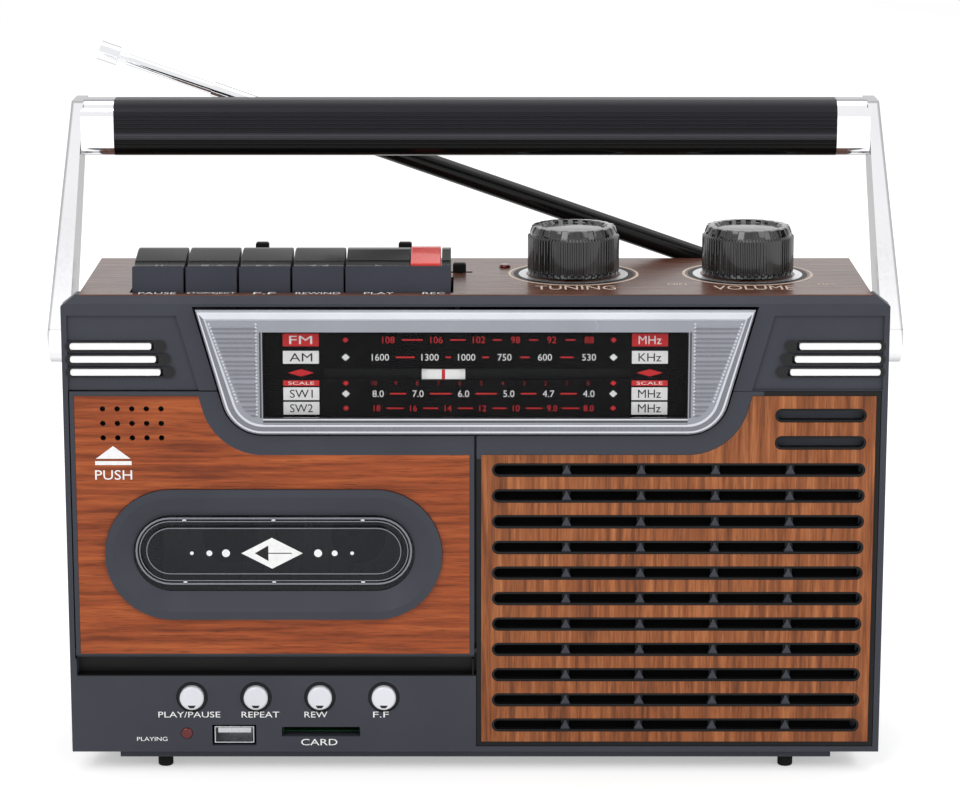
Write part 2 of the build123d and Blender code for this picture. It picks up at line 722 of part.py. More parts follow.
def tuning_drum():
    z0 = board_z + board_thickness + drum_rise
    drum = along_z(drum_radius, tuning_x, knob_y, z0, z0 + drum_thickness)
    groove = along_z(drum_radius + 1, tuning_x, knob_y, z0 + 1.2, z0 + drum_thickness - 1.2)
    drum -= groove - along_z(drum_radius - 1.0, tuning_x, knob_y, z0, z0 + drum_thickness)
    return drum - along_z(shaft_radius, tuning_x, knob_y, z0 - 1, z0 + drum_thickness + 1)


def main_board():
    """The radio board under the knobs, with its cans, chips and capacitors."""
    z = board_z + board_thickness
    y0, y1 = inner_front_y + 6.0, ledge_y - 6.0
    parts = [block((8.0, inner_half - 15), (y0, y1), (board_z, z))]
    for i in range(can_count):
        x = tuning_x + capacitor_half - 0.5 + i * can_pitch
        parts.append(block((x, x + can_size), (y1 - 2 - can_size, y1 - 2), (z, z + can_size)))
    for i in range(jar_count):
        x, y = volume_x - 20 + (i % 3) * 10, y0 + 4 + 8 * (i // 3)
        parts.append(along_z(jar_radius, x, y, z, z + jar_height))
    chip_x = (tuning_x + volume_x) / 2
    parts.append(block((chip_x - 5, chip_x + 5), (y0 + 3, y0 + 8), (z, z + 3)))
    return [parts[0].fuse(*parts[1:])]


def tuning_capacitor():
    z, half = board_z + board_thickness, capacitor_half
    case = block((tuning_x - half, tuning_x + half), (knob_y - half, knob_y + half),
                 (z, z + capacitor_height))
    return case - along_z(shaft_radius + running_gap, tuning_x, knob_y, z + 2, z + capacitor_height + 1)


def volume_control():
    z = board_z + board_thickness
    case = along_z(volume_case_radius, volume_x, knob_y, z, z + volume_case_height)
    return case - along_z(shaft_radius + running_gap, volume_x, knob_y, z + 2, z + volume_case_height + 1)


def mechanism_chassis():
    y0, y1 = chassis_y, chassis_y + chassis_thickness
    left, right = key_left - 2.5, key_left + 6 * key_pitch + 2.5
    low, high = door_low_z + 1, key_pivot_z - 12
    plate = block((left, right), (y0, y1), (low, high))
    for x in (left - 1.5, right):
        plate += block((x - 1.5, x), (y0, key_pivot_y + 4), (high - 12, key_pivot_z + 2.2))
    plate += block((left, right), (y0, key_pivot_y + 4), (high - 1.5, high))
    mount_y = flywheel_y + flywheel_thickness + 1.5
    for x in (motor_x - motor_post_x, motor_x + motor_post_x):
        for z in (motor_z - motor_post_z, motor_z + motor_post_z):
            plate += along_y(motor_post_radius, x, z, y1 - 0.5, mount_y + 0.5)
    plate += block((motor_x - motor_plate_half_x, motor_x + motor_plate_half_x), (mount_y, mount_y + 1.5),
                   (motor_z - motor_plate_half_z, motor_z + motor_plate_half_z))
    plate -= along_y(motor_pulley_radius + 1.0, motor_x, motor_z, mount_y - 1, mount_y + 2)
    for x, z in reel_places():
        plate -= along_y(2.0 + running_gap, x, z, y0 - 1, y1 + 1)
    plate -= along_y(capstan_radius + running_gap, capstan_x, capstan_z, y0 - 1, y1 + 1)
    for x0, x1, edge in ((-inner_half + 0.3, -inner_half + 3.6, left), (-1.0, 3.0, right - 1)):
        for middle in (low + 12, high - 40):
            tab = (middle - chassis_tab_half, middle + chassis_tab_half)
            plate += block((min(x0, edge), max(x1, edge)), (y0, y1), tab)
            plate += block((x0, x1), (inner_front_y, y0 + 0.5), tab)
    return plate - key_shaft(0.0)


def reel_places():
    return [(mechanism_x + side * reel_spacing / 2, reel_z) for side in (-1, 1)]


def reel(x, z):
    """A reel table with its splined spindle and its axle through the chassis."""
    y1 = chassis_y - seat_gap
    table_y = y1 - reel_table_thickness
    shape = along_y(reel_table_radius, x, z, table_y, y1)
    shape += along_y(spindle_radius, x, z, table_y - spindle_length, y1)
    for i in range(spindle_fins):
        fin = block((0, spindle_tip_radius), (table_y - spindle_length + 1.7, table_y + 0.2), (-0.6, 0.6))
        shape += Pos(x, 0, z) * Rot(0, 360 / spindle_fins * i, 0) * fin
    shape += along_y(2.0, x, z, y1 - 1, chassis_y + chassis_thickness + 1.0)
    return shape


def flywheel():
    y0, y1 = flywheel_y, flywheel_y + flywheel_thickness
    wheel = along_y(flywheel_radius, capstan_x, capstan_z, y0, y1)
    groove = along_y(flywheel_radius + 1, capstan_x, capstan_z, belt_y - seat_gap,
                     belt_y + belt_width + seat_gap)
    wheel -= groove - along_y(flywheel_radius - 1, capstan_x, capstan_z, y0, y1)
    return wheel + along_y(capstan_radius, capstan_x, capstan_z, chassis_y - capstan_reach, y0 + 1)


def motor():
    y0 = flywheel_y + flywheel_thickness + 3.0
    body = along_y(motor_radius, motor_x, motor_z, y0, y0 + motor_length)
    return body + along_y(4.6, motor_x, motor_z, y0 - 1.4, y0 + 1)


def motor_pulley():
    y0 = flywheel_y
    wheel = along_y(motor_pulley_radius + 1, motor_x, motor_z, y0, y0 + flywheel_thickness - 0.3)
    groove = along_y(motor_pulley_radius + 2, motor_x, motor_z, belt_y - 0.3, belt_y + belt_width + 0.3)
    return wheel - (groove - along_y(motor_pulley_radius, motor_x, motor_z, y0, y0 + flywheel_thickness))


def drive_belt():
    """A flat belt round the flywheel and the motor pulley."""
    def loop(extra):
        pair = [Pos(capstan_x, capstan_z) * Circle(flywheel_radius - 1 + extra),
                Pos(motor_x, motor_z) * Circle(motor_pulley_radius + extra)]
        return make_hull([edge for face in pair for edge in face.edges()])
    ring = loop(running_gap + belt_thickness) - loop(running_gap)
    return front_solid(ring, belt_y, belt_y + belt_width)


def head_plate():
    """The sliding plate with the tape heads, guided by two pins above the cassette."""
    top_edge = reel_z - reel_to_closed_edge + cassette_height
    z0 = top_edge + head_stroke + 1.0
    y0, y1 = chassis_y - seat_gap - 1.2, chassis_y - seat_gap
    plate = block((mechanism_x - 34, mechanism_x + 30), (y0, y1), (z0, z0 + 10))
    for dx, width in ((0, 12), (-20, 8)):
        x = mechanism_x + dx
        plate += block((x - width / 2, x + width / 2), (y0 - 10, y0 + 0.5), (z0 - 0.5, z0 + 8))
    return plate


def dial_tray():
    """The tray behind the lens, which carries the printed scale and the pointer's rail."""
    y0 = scale_front_y + scale_thickness
    y1 = y0 + carriage_thickness + 0.6
    low, high = lens_low_z + 1.0, lens_top_z - key_clearance
    half = lens_bottom_half_width - 4.0
    tray = front_solid(rect(-half, half, low, high, 2.0), y0, y1 + tray_back)
    run = rect(-slot_width / 2 - 4 + slot_offset, slot_width / 2 + 4 + slot_offset,
               slot_low_z + slot_height / 2 - carriage_height / 2 - 0.3,
               slot_low_z + slot_height / 2 + carriage_height / 2 + 0.3)
    tray -= front_solid(run, y0 - 1, y1)
    sides = lens_outline(-0.2) - rect(-half + 1, half - 1, low + 1, high - 1)
    sides -= rect(-half_w, half_w, high, 2 * deck_z)
    return tray + front_solid(sides, y1, y1 + tray_back)


def dial_scale():
    face = rect(-scale_width / 2, scale_width / 2, scale_low_z, scale_low_z + scale_height)
    plate = front_solid(face, scale_front_y, scale_front_y + scale_thickness)
    slot = rect(slot_offset - slot_width / 2, slot_offset + slot_width / 2,
                slot_low_z, slot_low_z + slot_height)
    return plate - front_solid(slot, scale_front_y - 1, scale_front_y + 2)


def dial_pointer():
    middle = slot_low_z + slot_height / 2
    y0 = scale_front_y + scale_thickness + 0.3
    carriage = block((pointer_rest - 7, pointer_rest + 7), (y0, y0 + carriage_thickness),
                     (middle - carriage_height / 2, middle + carriage_height / 2))
    flag = block((pointer_rest - pointer_width / 2, pointer_rest + pointer_width / 2),
                 (scale_front_y + 0.1, y0 + 0.5), (slot_low_z + 0.2, slot_low_z + slot_height - 0.2))
    return carriage + flag


def dial_lens():
    """The clear cover: a tray-shaped lens, bevelled round its front."""
    lens = front_solid(lens_outline(-0.1), front_y - lens_proud, front_y + scale_depth - 0.2)
    rim = lens.faces().sort_by(Axis.Y)[0].edges()
    lens = chamfer(rim, 1.6)
    hollow = front_solid(rect(-scale_width / 2 - 2, scale_width / 2 + 2, scale_low_z - 1.5,
                              scale_low_z + scale_height + 2), front_y - lens_proud + lens_skin,
                         front_y + scale_depth)
    return lens - hollow


def louvre_strips():
    bars = []
    for side in (-1, 1):
        for outer, inner, z in louvre_bars(side):
            low, high = sorted((outer, inner))
            bar = rect(low, high, z - louvre_height / 2, z + louvre_height / 2, 0.8)
            bars.append(front_solid(bar, front_y + 0.3, front_y + panel_recess + louvre_pocket_depth))
    return bars


def grille_panel():
    panel = front_solid(grille_outline(), front_y + 0.2, front_y + grille_panel_depth)
    panel -= front_solid(wood_outline(grille_outline(door_rim)), front_y, front_y + veneer_thickness)
    back = front_y + grille_panel_depth
    for x, z, length, height in grille_slots():
        panel += front_solid(stadium(x, z, length - 0.2, height - 0.2), front_y + 0.2, back)
    cut = [front_solid(stadium(x, z, length, height), front_y - 1, back + 1)
           for x, z, length, height in grille_slots(grille_slot_lip)]
    panel = panel.cut(*cut)
    panel -= rod(hinge_pin_radius + running_gap, (0, hinge_y, hinge_z),
                 (door_right + hinge_pin_length + 0.5, hinge_y, hinge_z))
    left, right = grille_left, half_w - grille_right_inset
    pitch = (right - left) / (grille_ribs + 1)
    top = base_z + grille_first_rise + (grille_rows - 1) * grille_pitch + 2
    for i in range(1, grille_ribs + 1):
        x = left + i * pitch
        panel += block((x - grille_rib_width / 2, x + grille_rib_width / 2), (front_y + 1.6, back),
                       (base_z + grille_first_rise - 2, top))
    return panel


def grille_veneer():
    wood = wood_outline(grille_outline(door_rim + sheet_gap))
    sheet = front_solid(wood, front_y, front_y + veneer_thickness)
    cut = [front_solid(stadium(x, z, length + 0.1, height + 0.1), front_y - 1, front_y + 2)
           for x, z, length, height in grille_slots()]
    return sheet.cut(*cut)


def push_button(x):
    z = base_z + button_rise
    cap = along_y(button_radius, x, z, front_y - button_proud, front_y + 3.5)
    cap = fillet(cap.edges().sort_by(Axis.Y)[0], 0.8)
    return cap + along_y(1.5, x, z, front_y + 3, media_board_y - button_switch_height - 0.1 - button_travel)


def media_board():
    z1 = door_low_z + 4
    board = block((-half_w + 33, -half_w + 112), (media_board_y, media_board_y + board_thickness),
                  (inner_low_z + 0.3, z1))
    for i in range(button_count):
        x = -half_w + button_first + i * button_pitch
        board += block((x - 3, x + 3), (media_board_y - button_switch_height, media_board_y + 0.5),
                       (base_z + button_rise - 3, base_z + button_rise + 3))
    card_x, card_z = -half_w + card_x_from_left, base_z + card_rise
    half_u, half_v, end = card_width / 2, card_height / 2, inner_front_y + card_depth
    cage = block((card_x - half_u - 1.2, card_x + half_u + 1.2), (inner_front_y + seat_gap, end),
                 (card_z - half_v - 0.7, card_z + half_v + 0.7))
    throat = block((card_x - half_u, card_x + half_u), (front_y, end - 1.2),
                   (card_z - half_v, card_z + half_v))
    board = board + cage - throat
    usb_x, usb_z = -half_w + usb_x_from_left, base_z + usb_rise
    return board - usb_block(usb_x, usb_z, 0.05, 30)


def usb_block(x, z, grow, reach):
    half_u, half_v = usb_width / 2 + grow, usb_height / 2 + grow
    return block((x - half_u, x + half_u), (front_y + 0.6, front_y + 0.6 + reach), (z - half_v, z + half_v))


def usb_socket():
    x, z = -half_w + usb_x_from_left, base_z + usb_rise
    shell = usb_block(x, z, 0.0, usb_depth) - Pos(0, -1, 0) * usb_block(x, z, -usb_shell, usb_depth)
    tongue = block((x - 5.5, x + 5.5), (front_y + 2.2, front_y + usb_depth), (z + 0.2, z + 1.9))
    return shell + tongue


def indicator_leds():
    panel = along_y(led_radius, -half_w + panel_led_x, base_z + panel_led_rise, front_y - 0.6, media_board_y)
    deck = along_z(led_radius, deck_led_x, front_y + deck_led_y, inner_high_z + 0.2, deck_z + 1.0)
    return [fillet(panel.edges().sort_by(Axis.Y)[0], 0.7), fillet(deck.edges().sort_by(Axis.Z)[-1], 0.7)]


def slide_switches():
    bodies = []
    for _, x, travel, _ in switch_levers:
        reach = travel / 2 + 2.5
        body = block((x - reach, x + reach), (lever_y - 4, lever_y + 4), (inner_high_z - 6, inner_high_z))
        well = stem_width / 2 + 0.3
        run = travel / 2 + well
        bodies.append(body - block((x - run, x + run), (lever_y - well, lever_y + well),
                                   (inner_high_z - 4, inner_high_z + 1)))
    return bodies


def switch_lever(x, rise):
    half_u, half_v = lever_width / 2, lever_depth / 2
    cap = block((x - half_u, x + half_u), (lever_y - half_v, lever_y + half_v),
                (deck_z + 0.2, deck_z + rise))
    cap = chamfer(cap.edges().group_by(Axis.Z)[-1], 0.5)
    half = stem_width / 2
    return cap + block((x - half, x + half), (lever_y - half, lever_y + half),
                       (inner_high_z - 3.6, deck_z + 1))


def handle_arm(side):
    """One chrome arm: it widens towards the pivot and ends in a cap for the grip."""
    top_z = grip_z + cap_height / 2
    low_z = pivot_z - arm_half_depth_bottom
    inner_low = half_w + 0.2
    front = polygon((inner_low, low_z), (arm_bottom_x, low_z), (arm_bottom_x, pivot_z), (arm_top_x, top_z),
                    (arm_inner_top, top_z), (inner_low, pivot_z + collar_radius + 1))
    arm = front_solid(front, handle_y - 20, handle_y + 20)
    t, b = arm_half_depth_top, arm_half_depth_bottom
    side_face = polygon((handle_y - b, pivot_z), (handle_y + b, pivot_z),
                        (handle_y + t, top_z), (handle_y - t, top_z))
    side_face += Pos(handle_y, pivot_z) * Circle(b)
    arm &= side_solid(side_face, 0, 2 * half_w)
    cap = side_solid(Pos(handle_y, grip_z) * RectangleRounded(grip_depth, cap_height, 5.0), grip_half_length,
                     arm_inner_top + 1)
    tenon = side_solid(Pos(handle_y, grip_z) * RectangleRounded(grip_depth - 8, grip_height - 9, 2.0),
                       grip_half_length - 10, grip_half_length + 1)
    arm = arm + cap + tenon
    arm -= rod(stud_radius + running_gap, (half_w - 2, handle_y, pivot_z),
               (half_w + stud_length + 0.2, handle_y, pivot_z))
    return arm if side > 0 else mirror(arm, about=Plane.YZ)


def handle_studs():
    """Shouldered studs: a shank through the side wall, a collar and a journal for the arm."""
    studs = []
    for side in (-1, 1):
        def bar(radius, x0, x1):
            return rod(radius, (side * x0, handle_y, pivot_z), (side * x1, handle_y, pivot_z))
        studs.append(bar(stud_shank_radius, inner_half, body_half + 0.5)
                     + bar(collar_radius, body_half, half_w - 0.1)
                     + bar(stud_radius, half_w - 1, half_w + stud_length))
    return studs


def handle_grip():
    section = RectangleRounded(grip_depth, grip_height, 5.0)
    for i in range(grip_ridges):
        z = (i - (grip_ridges - 1) / 2) * grip_ridge_pitch
        for side in (-1, 1):
            section -= Pos(side * grip_depth / 2, z) * Circle(grip_groove_radius)
    grip = side_solid(Pos(handle_y, grip_z) * section, -grip_half_length + 0.05, grip_half_length - 0.05)
    bore = side_solid(Pos(handle_y, grip_z) * RectangleRounded(grip_depth - 7.9, grip_height - 8.9, 2.0),
                      -grip_half_length, grip_half_length)
    return grip - bore


antenna_dir = Vector(-math.cos(math.radians(antenna_angle)), 0, math.sin(math.radians(antenna_angle)))


def antenna_rod(radius, start, end):
    """A bar on the antenna's line, by its distances from the tilt pin."""
    pivot = Vector(antenna_x, antenna_y, antenna_z)
    return rod(radius, tuple(pivot + antenna_dir * start), tuple(pivot + antenna_dir * end))


def antenna_base():
    """A swivelling fork on its stem, with the tilt pin through its cheeks."""
    fork = along_z(yoke_radius, antenna_x, antenna_y, ledge_z + 0.2, antenna_z + 3.6)
    fork -= block((antenna_x - 9, antenna_x + 9), (antenna_y - yoke_slot, antenna_y + yoke_slot),
                  (ledge_z + 1.2, antenna_z + 9))
    fork += along_z(2.0, antenna_x, antenna_y, ledge_z - wall - 1.5, ledge_z + 0.8)
    pin = rod(1.0, (antenna_x, antenna_y - 3.0, antenna_z), (antenna_x, antenna_y + 3.0, antenna_z))
    return fork + pin


def antenna_sections():
    """The nested tubes, each with the bore that the next one slides in."""
    lengths_out = [antenna_base_length]
    for shown in antenna_shown:
        lengths_out.append(lengths_out[-1] + shown)
    tubes = []
    for i, radius in enumerate(antenna_radii):
        end = lengths_out[i]
        start = 6.5 if i == 0 else end - antenna_tube_length + (i - 1) * antenna_tube_step
        tube = antenna_rod(radius, start, end)
        if i + 1 < len(antenna_radii):
            tube -= antenna_rod(antenna_radii[i + 1] + antenna_bore_gap, start + 4.0, end + 1)
        tubes.append(tube)
    tongue = antenna_rod(tongue_radius, 0, 7.5)
    tongue += rod(tongue_radius, (antenna_x, antenna_y - 2, antenna_z), (antenna_x, antenna_y + 2, antenna_z))
    slab = block((antenna_x - 40, antenna_x + 40), (antenna_y - yoke_slot + 0.1, antenna_y + yoke_slot - 0.1),
                 (antenna_z - 20, antenna_z + 20))
    tongue = (tongue & slab) - rod(1.0 + running_gap, (antenna_x, antenna_y - 4, antenna_z),
                                   (antenna_x, antenna_y + 4, antenna_z))
    tubes[0] = tubes[0] + tongue
    end = lengths_out[-1]
    tubes[-1] = tubes[-1] + antenna_rod(tip_radius, end + 0.4, end + tip_length)
    return tubes


def battery_door():
    door = battery_door_block(battery_door_margin, -seat_gap, 0.0)
    door = chamfer(door.edges().filter_by(Axis.X).group_by(Axis.Z)[0], 0.6)
    middle = (bay_left + bay_right) / 2
    for i in range(thumb_grooves):
        z = bay_high_z - 4 - i * thumb_groove_pitch
        door -= block((middle - 12, middle + 12), (back_y - 0.5, back_y + 1), (z - 0.5, z + 0.5))
    return door


def battery_contacts():
    """Sheet contacts at the bay's ends, each with a cone towards the cell."""
    pieces = []
    for row in (0, 1):
        z = bay_low_z + (row + 0.5) * (cell_diameter + bay_clearance / 2)
        y = bay_front_y + cell_diameter / 2
        for side, x in ((1, bay_left), (-1, bay_right)):
            plate = block(sorted((x + side * 0.05, x + side * 0.45)), (y - contact_half, y + contact_half),
                          (z - contact_half, z + contact_half))
            tip = Pos(x + side * 0.4, y, z) * Rot(0, side * 90, 0) * Cone(
                6.0, 3.0, 1.2, align=(Align.CENTER, Align.CENTER, Align.MIN))
            pieces.append(plate + tip)
    return pieces


def rear_jacks():
    jacks = []
    z, half = base_z + jack_rise, jack_block_half
    for x, bore in jack_places():
        body = along_y(bore + jack_wall, x, z, back_y - jack_depth - 2, back_y)
        body += block((x - half, x + half), (back_y - jack_depth - 2, back_y - wall), (z - half, z + half))
        body -= along_y(bore, x, z, back_y - jack_depth, back_y + 1)
        jacks.append(body)
    jacks[0] += along_y(dc_pin_radius, jack_x, z, back_y - jack_depth - 1, back_y - 1.5)
    return jacks


def case_screws():
    screws = []
    for x, z in screw_places:
        seat = split_y + screw_seat
        screws.append(along_y(screw_radius, x, z, split_y - screw_reach, seat + 1)
                      + along_y(screw_head_radius, x, z, seat, seat + screw_head_height))
    return screws


def feet():
    places = [(sx * (half_w - foot_inset_x), y) for sx in (-1, 1)
              for y in (front_y + foot_inset_y, back_y - foot_inset_y)]
    pins = [along_z(foot_radius, x, y, 0, foot_height) for x, y in places]
    return [fillet(pin.edges().sort_by(Axis.Z)[0], 0.6) for pin in pins]


def base_plate():
    half = half_w - base_plate_inset
    return block((-half, half), (front_y + 3, back_y - 3), (foot_height, base_z))


def ferrite_rod():
    """The ferrite rod with its coil, held by two clips under the ceiling."""
    y, z = ledge_y - ferrite_setback, inner_high_z - ferrite_drop

    def bar(radius, x0, x1):
        return rod(radius, (x0, y, z), (x1, y, z))

    left = -inner_half + ferrite_inset
    right = left + ferrite_length
    coil_left = left + coil_inset
    coil_right = coil_left + coil_length
    pieces = [bar(ferrite_radius, left, right),
              bar(coil_radius, coil_left, coil_right) - bar(ferrite_radius, coil_left - 1, coil_right + 1)]
    for x in (left + holder_half, right - holder_inset):
        x0, x1 = x - holder_half, x + holder_half
        clip = block((x0, x1), (y - 5, y + 5), (z - 5, inner_high_z))
        pieces.append(clip - bar(ferrite_radius, x0 - 1, x1 + 1))
    return pieces


def write_all():
    write("front_cabinet", front_cabinet())
    rear_shell, rear_top = rear_cabinet()
    write("rear_cabinet", rear_shell)
    write("rear_cabinet_top", rear_top)
    write("battery_bay", battery_bay())
    write("top_deck", top_deck())
    write("base_plate", base_plate())
    write("feet", *feet())
    write("screws_and_studs", *case_screws(), *handle_studs())
    write("grille_panel", grille_panel())
    write("grille_veneer", grille_veneer())
    write("louvre_strips", *louvre_strips())
    write("dial_lens", dial_lens())
    write("dial_tray", dial_tray())
    write("dial_scale", dial_scale())
    write("dial_pointer", dial_pointer())
    basket, cone = speaker()
    write("speaker_driver", basket)
    write("speaker_cone", cone)
    write("main_board", *main_board(), tuning_capacitor(), volume_control(), *slide_switches(), *ferrite_rod())
    shaft_low_z = board_z + board_thickness + control_shaft_rise
    write("tuning_knob", knob(tuning_x, shaft_low_z))
    write("volume_knob", knob(volume_x, shaft_low_z))
    write("tuning_drum", tuning_drum())
    write("media_board", media_board())
    write("usb_socket", usb_socket())
    write("indicator_leds", *indicator_leds())
    for name, x, _, rise in switch_levers:
        write(name, switch_lever(x, rise))
    write("mechanism_chassis", mechanism_chassis(), key_shaft())
    for name, (x, z) in zip(("supply_reel", "takeup_reel"), reel_places()):
        write(name, reel(x, z))
    write("flywheel", flywheel())
    write("tape_motor", motor())
    write("motor_pulley", motor_pulley())
    write("drive_belt", drive_belt())
    write("head_plate", head_plate())
    write("door_frame", door_frame())
    write("door_veneer", door_veneer())
    write("door_window", door_window())
    write("cassette_pocket", cassette_pocket())
    for i, name in enumerate(("pause", "stop_eject", "fast_forward", "rewind")):
        x0 = key_left + i * key_pitch
        write(f"key_{name}", key(x0 + key_gap / 2, x0 + key_pitch - key_gap / 2))
    play_left, play_right = key_left + 4 * key_pitch + key_gap / 2, key_left + 6 * key_pitch - key_gap / 2
    record_right = play_right - record_key_inset_x
    record_left = record_right - record_key_width
    write("key_play", key(play_left, play_right, (record_left - seat_gap, record_right + seat_gap)))
    write("key_record", record_key(record_left, record_right))
    for i in range(button_count):
        write(f"push_button_{i + 1}", push_button(-half_w + button_first + i * button_pitch))
    write("handle_grip", handle_grip())
    write("handle_arm_left", handle_arm(-1))
    write("handle_arm_right", handle_arm(1))
    write("antenna_base", antenna_base())
    for i, tube in enumerate(antenna_sections()):
        write(f"antenna_section_{i + 1}", tube)
    write("battery_door", battery_door())
    write("battery_contacts", *battery_contacts())
    write("rear_jacks", *rear_jacks())


write_all()
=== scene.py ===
"""The looks of a portable radio cassette player with a carrying handle and a telescopic antenna."""
import math

import bmesh
import bpy
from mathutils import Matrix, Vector


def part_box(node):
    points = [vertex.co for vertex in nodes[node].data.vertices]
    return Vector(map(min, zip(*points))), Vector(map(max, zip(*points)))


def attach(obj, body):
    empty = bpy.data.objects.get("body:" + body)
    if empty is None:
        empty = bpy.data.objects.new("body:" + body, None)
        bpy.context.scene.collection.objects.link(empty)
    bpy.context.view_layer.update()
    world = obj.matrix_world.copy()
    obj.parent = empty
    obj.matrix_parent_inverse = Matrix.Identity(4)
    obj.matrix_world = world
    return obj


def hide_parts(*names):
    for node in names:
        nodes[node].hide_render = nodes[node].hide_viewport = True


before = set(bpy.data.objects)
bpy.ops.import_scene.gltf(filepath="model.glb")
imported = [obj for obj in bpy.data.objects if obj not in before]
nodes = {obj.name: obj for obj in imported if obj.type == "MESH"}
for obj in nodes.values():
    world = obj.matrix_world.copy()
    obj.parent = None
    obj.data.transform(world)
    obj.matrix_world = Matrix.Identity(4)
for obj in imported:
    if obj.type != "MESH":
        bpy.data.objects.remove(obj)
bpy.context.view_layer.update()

MM = 0.001


# Places read from the frame, in millimetres
def box_mm(node):
    """The lowest and highest corner of a node, in millimetres."""
    return tuple(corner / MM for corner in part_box(node))


front_y = box_mm("grille_veneer")[0].y
deck_z = box_mm("top_deck")[1].z
lens_low, lens_high = box_mm("dial_lens")
scale_low, scale_high = box_mm("dial_scale")
window_low, window_high = box_mm("door_window")
window_x, window_z = (window_low.x + window_high.x) / 2, (window_low.z + window_high.z) / 2
pointer_low, pointer_high = box_mm("dial_pointer")
knob_places = {name: (box_mm(name)[0] + box_mm(name)[1]) / 2 for name in ("tuning_knob", "volume_knob")}

# Sizes of the printed and fine detail, in millimetres
INK = 0.04  # the top of a printed mark above its surface
INK_FOOT = 0.005  # its underside above its surface
BUTTONS_X, BUTTONS_Z = (-93.2, -72.17, -51.14, -30.11), 25.8
KNOB_RADIUS = 15.2
GRIP_LOW_Z, GRIP_HIGH_Z = 200.2, 218.6
ARM_TOP_X, ARM_TOP_Z = 131.5, 218.6  # the upper outer edge of the handle's arms
ARM_LEAN = 0.125  # how far the arms widen for each millimetre down
DOOR_GAP_SHADE = (("X", -130.7, 0.4), ("Z", 33.0, 39.6), ("Y", -60, -31))  # painted shade in the recess under the cassette door
PANEL_SHOULDER = (("X", -1, 93), ("Z", 106.3, 140))  # the grille panel beside the dial lens


def srgb(red, green, blue):
    """A colour given in screen values from 0 to 255, as a shader wants it."""
    def linear(value):
        value /= 255
        return value / 12.92 if value <= 0.04045 else ((value + 0.055) / 1.055) ** 2.4
    return linear(red), linear(green), linear(blue), 1.0


def shaded(colour, factor):
    return tuple(channel * factor for channel in colour[:3]) + (1.0,)


class Surface:
    """A material under construction, with short ways to add its nodes."""

    def __init__(self, material):
        """Go on with a material that has a node tree."""
        self.material, self.tree = material, material.node_tree
        self.shader = self.tree.nodes["Principled BSDF"]
        self.place = self.add("TexCoord").outputs["Object"]

    @classmethod
    def new(cls, name, **sockets):
        material = bpy.data.materials.new(name)
        material.use_nodes = True
        s = cls(material)
        s.set(s.shader, **sockets)
        return s

    def feed(self, socket, value):
        """Link an output to a socket, or set the socket to a plain value."""
        if isinstance(value, bpy.types.NodeSocket):
            self.tree.links.new(value, socket)
        else:
            socket.default_value = value

    def set(self, node, **sockets):
        for name, value in sockets.items():
            self.feed(node.inputs[name.replace("_", " ")], value)

    def add(self, kind, settings=None, **sockets):
        node = self.tree.nodes.new("ShaderNode" + kind)
        for name, value in (settings or {}).items():
            setattr(node, name, value)
        self.set(node, **sockets)
        return node

    def stretched(self, x, y, z):
        return self.add("Mapping", Vector=self.place, Scale=(x, y, z)).outputs["Vector"]

    def noise(self, scale, detail=3.0, roughness=0.55, stretch=(1, 1, 1), distortion=0.0):
        """Cloudy noise: scale is in features per metre, times stretch along each axis."""
        place = self.stretched(*(scale * s for s in stretch))
        return self.add("TexNoise", Vector=place, Scale=1.0, Detail=detail, Roughness=roughness,
                        Distortion=distortion).outputs["Fac"]

    def ramp(self, factor, *stops):
        """A colour that follows factor through stops of (place, colour)."""
        node = self.add("ValToRGB", Fac=factor)
        elements = node.color_ramp.elements
        while len(elements) < len(stops):
            elements.new(0.5)
        for element, (position, colour) in zip(elements, stops):
            element.position, element.color = position, colour
        return node.outputs["Color"]

    def clouded(self, noise, colour, darkest, lightest):
        """A colour times a factor that wavers with a noise."""
        return self.ramp(noise, (0.3, shaded(colour, darkest)), (0.7, shaded(colour, lightest)))

    def range(self, value, low, high, start=0.0, end=1.0):
        """Spread the part of a value from start to end over low to high."""
        node = self.add("MapRange", Value=value, From_Min=start, From_Max=end, To_Min=low, To_Max=high)
        return node.outputs["Result"]

    def mix(self, factor, a, b, blend="MIX"):
        """Mix two colours, by the sockets that the node keeps for colours."""
        node = self.add("Mix", {"data_type": "RGBA", "blend_type": blend})
        for index, value in ((0, factor), (6, a), (7, b)):
            self.feed(node.inputs[index], value)
        return node.outputs[2]

    def math(self, operation, a, b=0.0):
        node = self.add("Math", {"operation": operation})
        for index, value in enumerate((a, b)):
            self.feed(node.inputs[index], value)
        return node.outputs[0]

    def bump(self, height, strength, depth):
        """Raise the surface by depth millimetres where height is 1."""
        node = self.add("Bump", Height=height, Strength=strength, Distance=depth * MM)
        self.set(self.shader, Normal=node.outputs["Normal"])

    def base_colour(self):
        """The output that already feeds the shader's colour."""
        return self.shader.inputs["Base Color"].links[0].from_socket

    def axes(self, vector):
        return self.add("SeparateXYZ", Vector=vector).outputs

    def normal(self):
        return self.axes(self.add("TexCoord").outputs["Normal"])


# Kinds of material
def moulded(name, colour, roughness=0.42, grain=1400, relief=0.02, specular=0.22, tone=0.1):
    """Moulded plastic: a fine spark-eroded grain, faint clouding and rubbed patches."""
    s = Surface.new(name, Specular_IOR_Level=specular)
    rub = s.noise(60, detail=5, roughness=0.7)
    s.set(s.shader, Base_Color=s.clouded(s.noise(28, detail=4), colour, 1 - tone, 1 + tone),
          Roughness=s.range(rub, roughness - 0.06, roughness + 0.08, start=0.3, end=0.7))
    s.bump(s.noise(grain, detail=2), 0.35, relief)
    return s.material


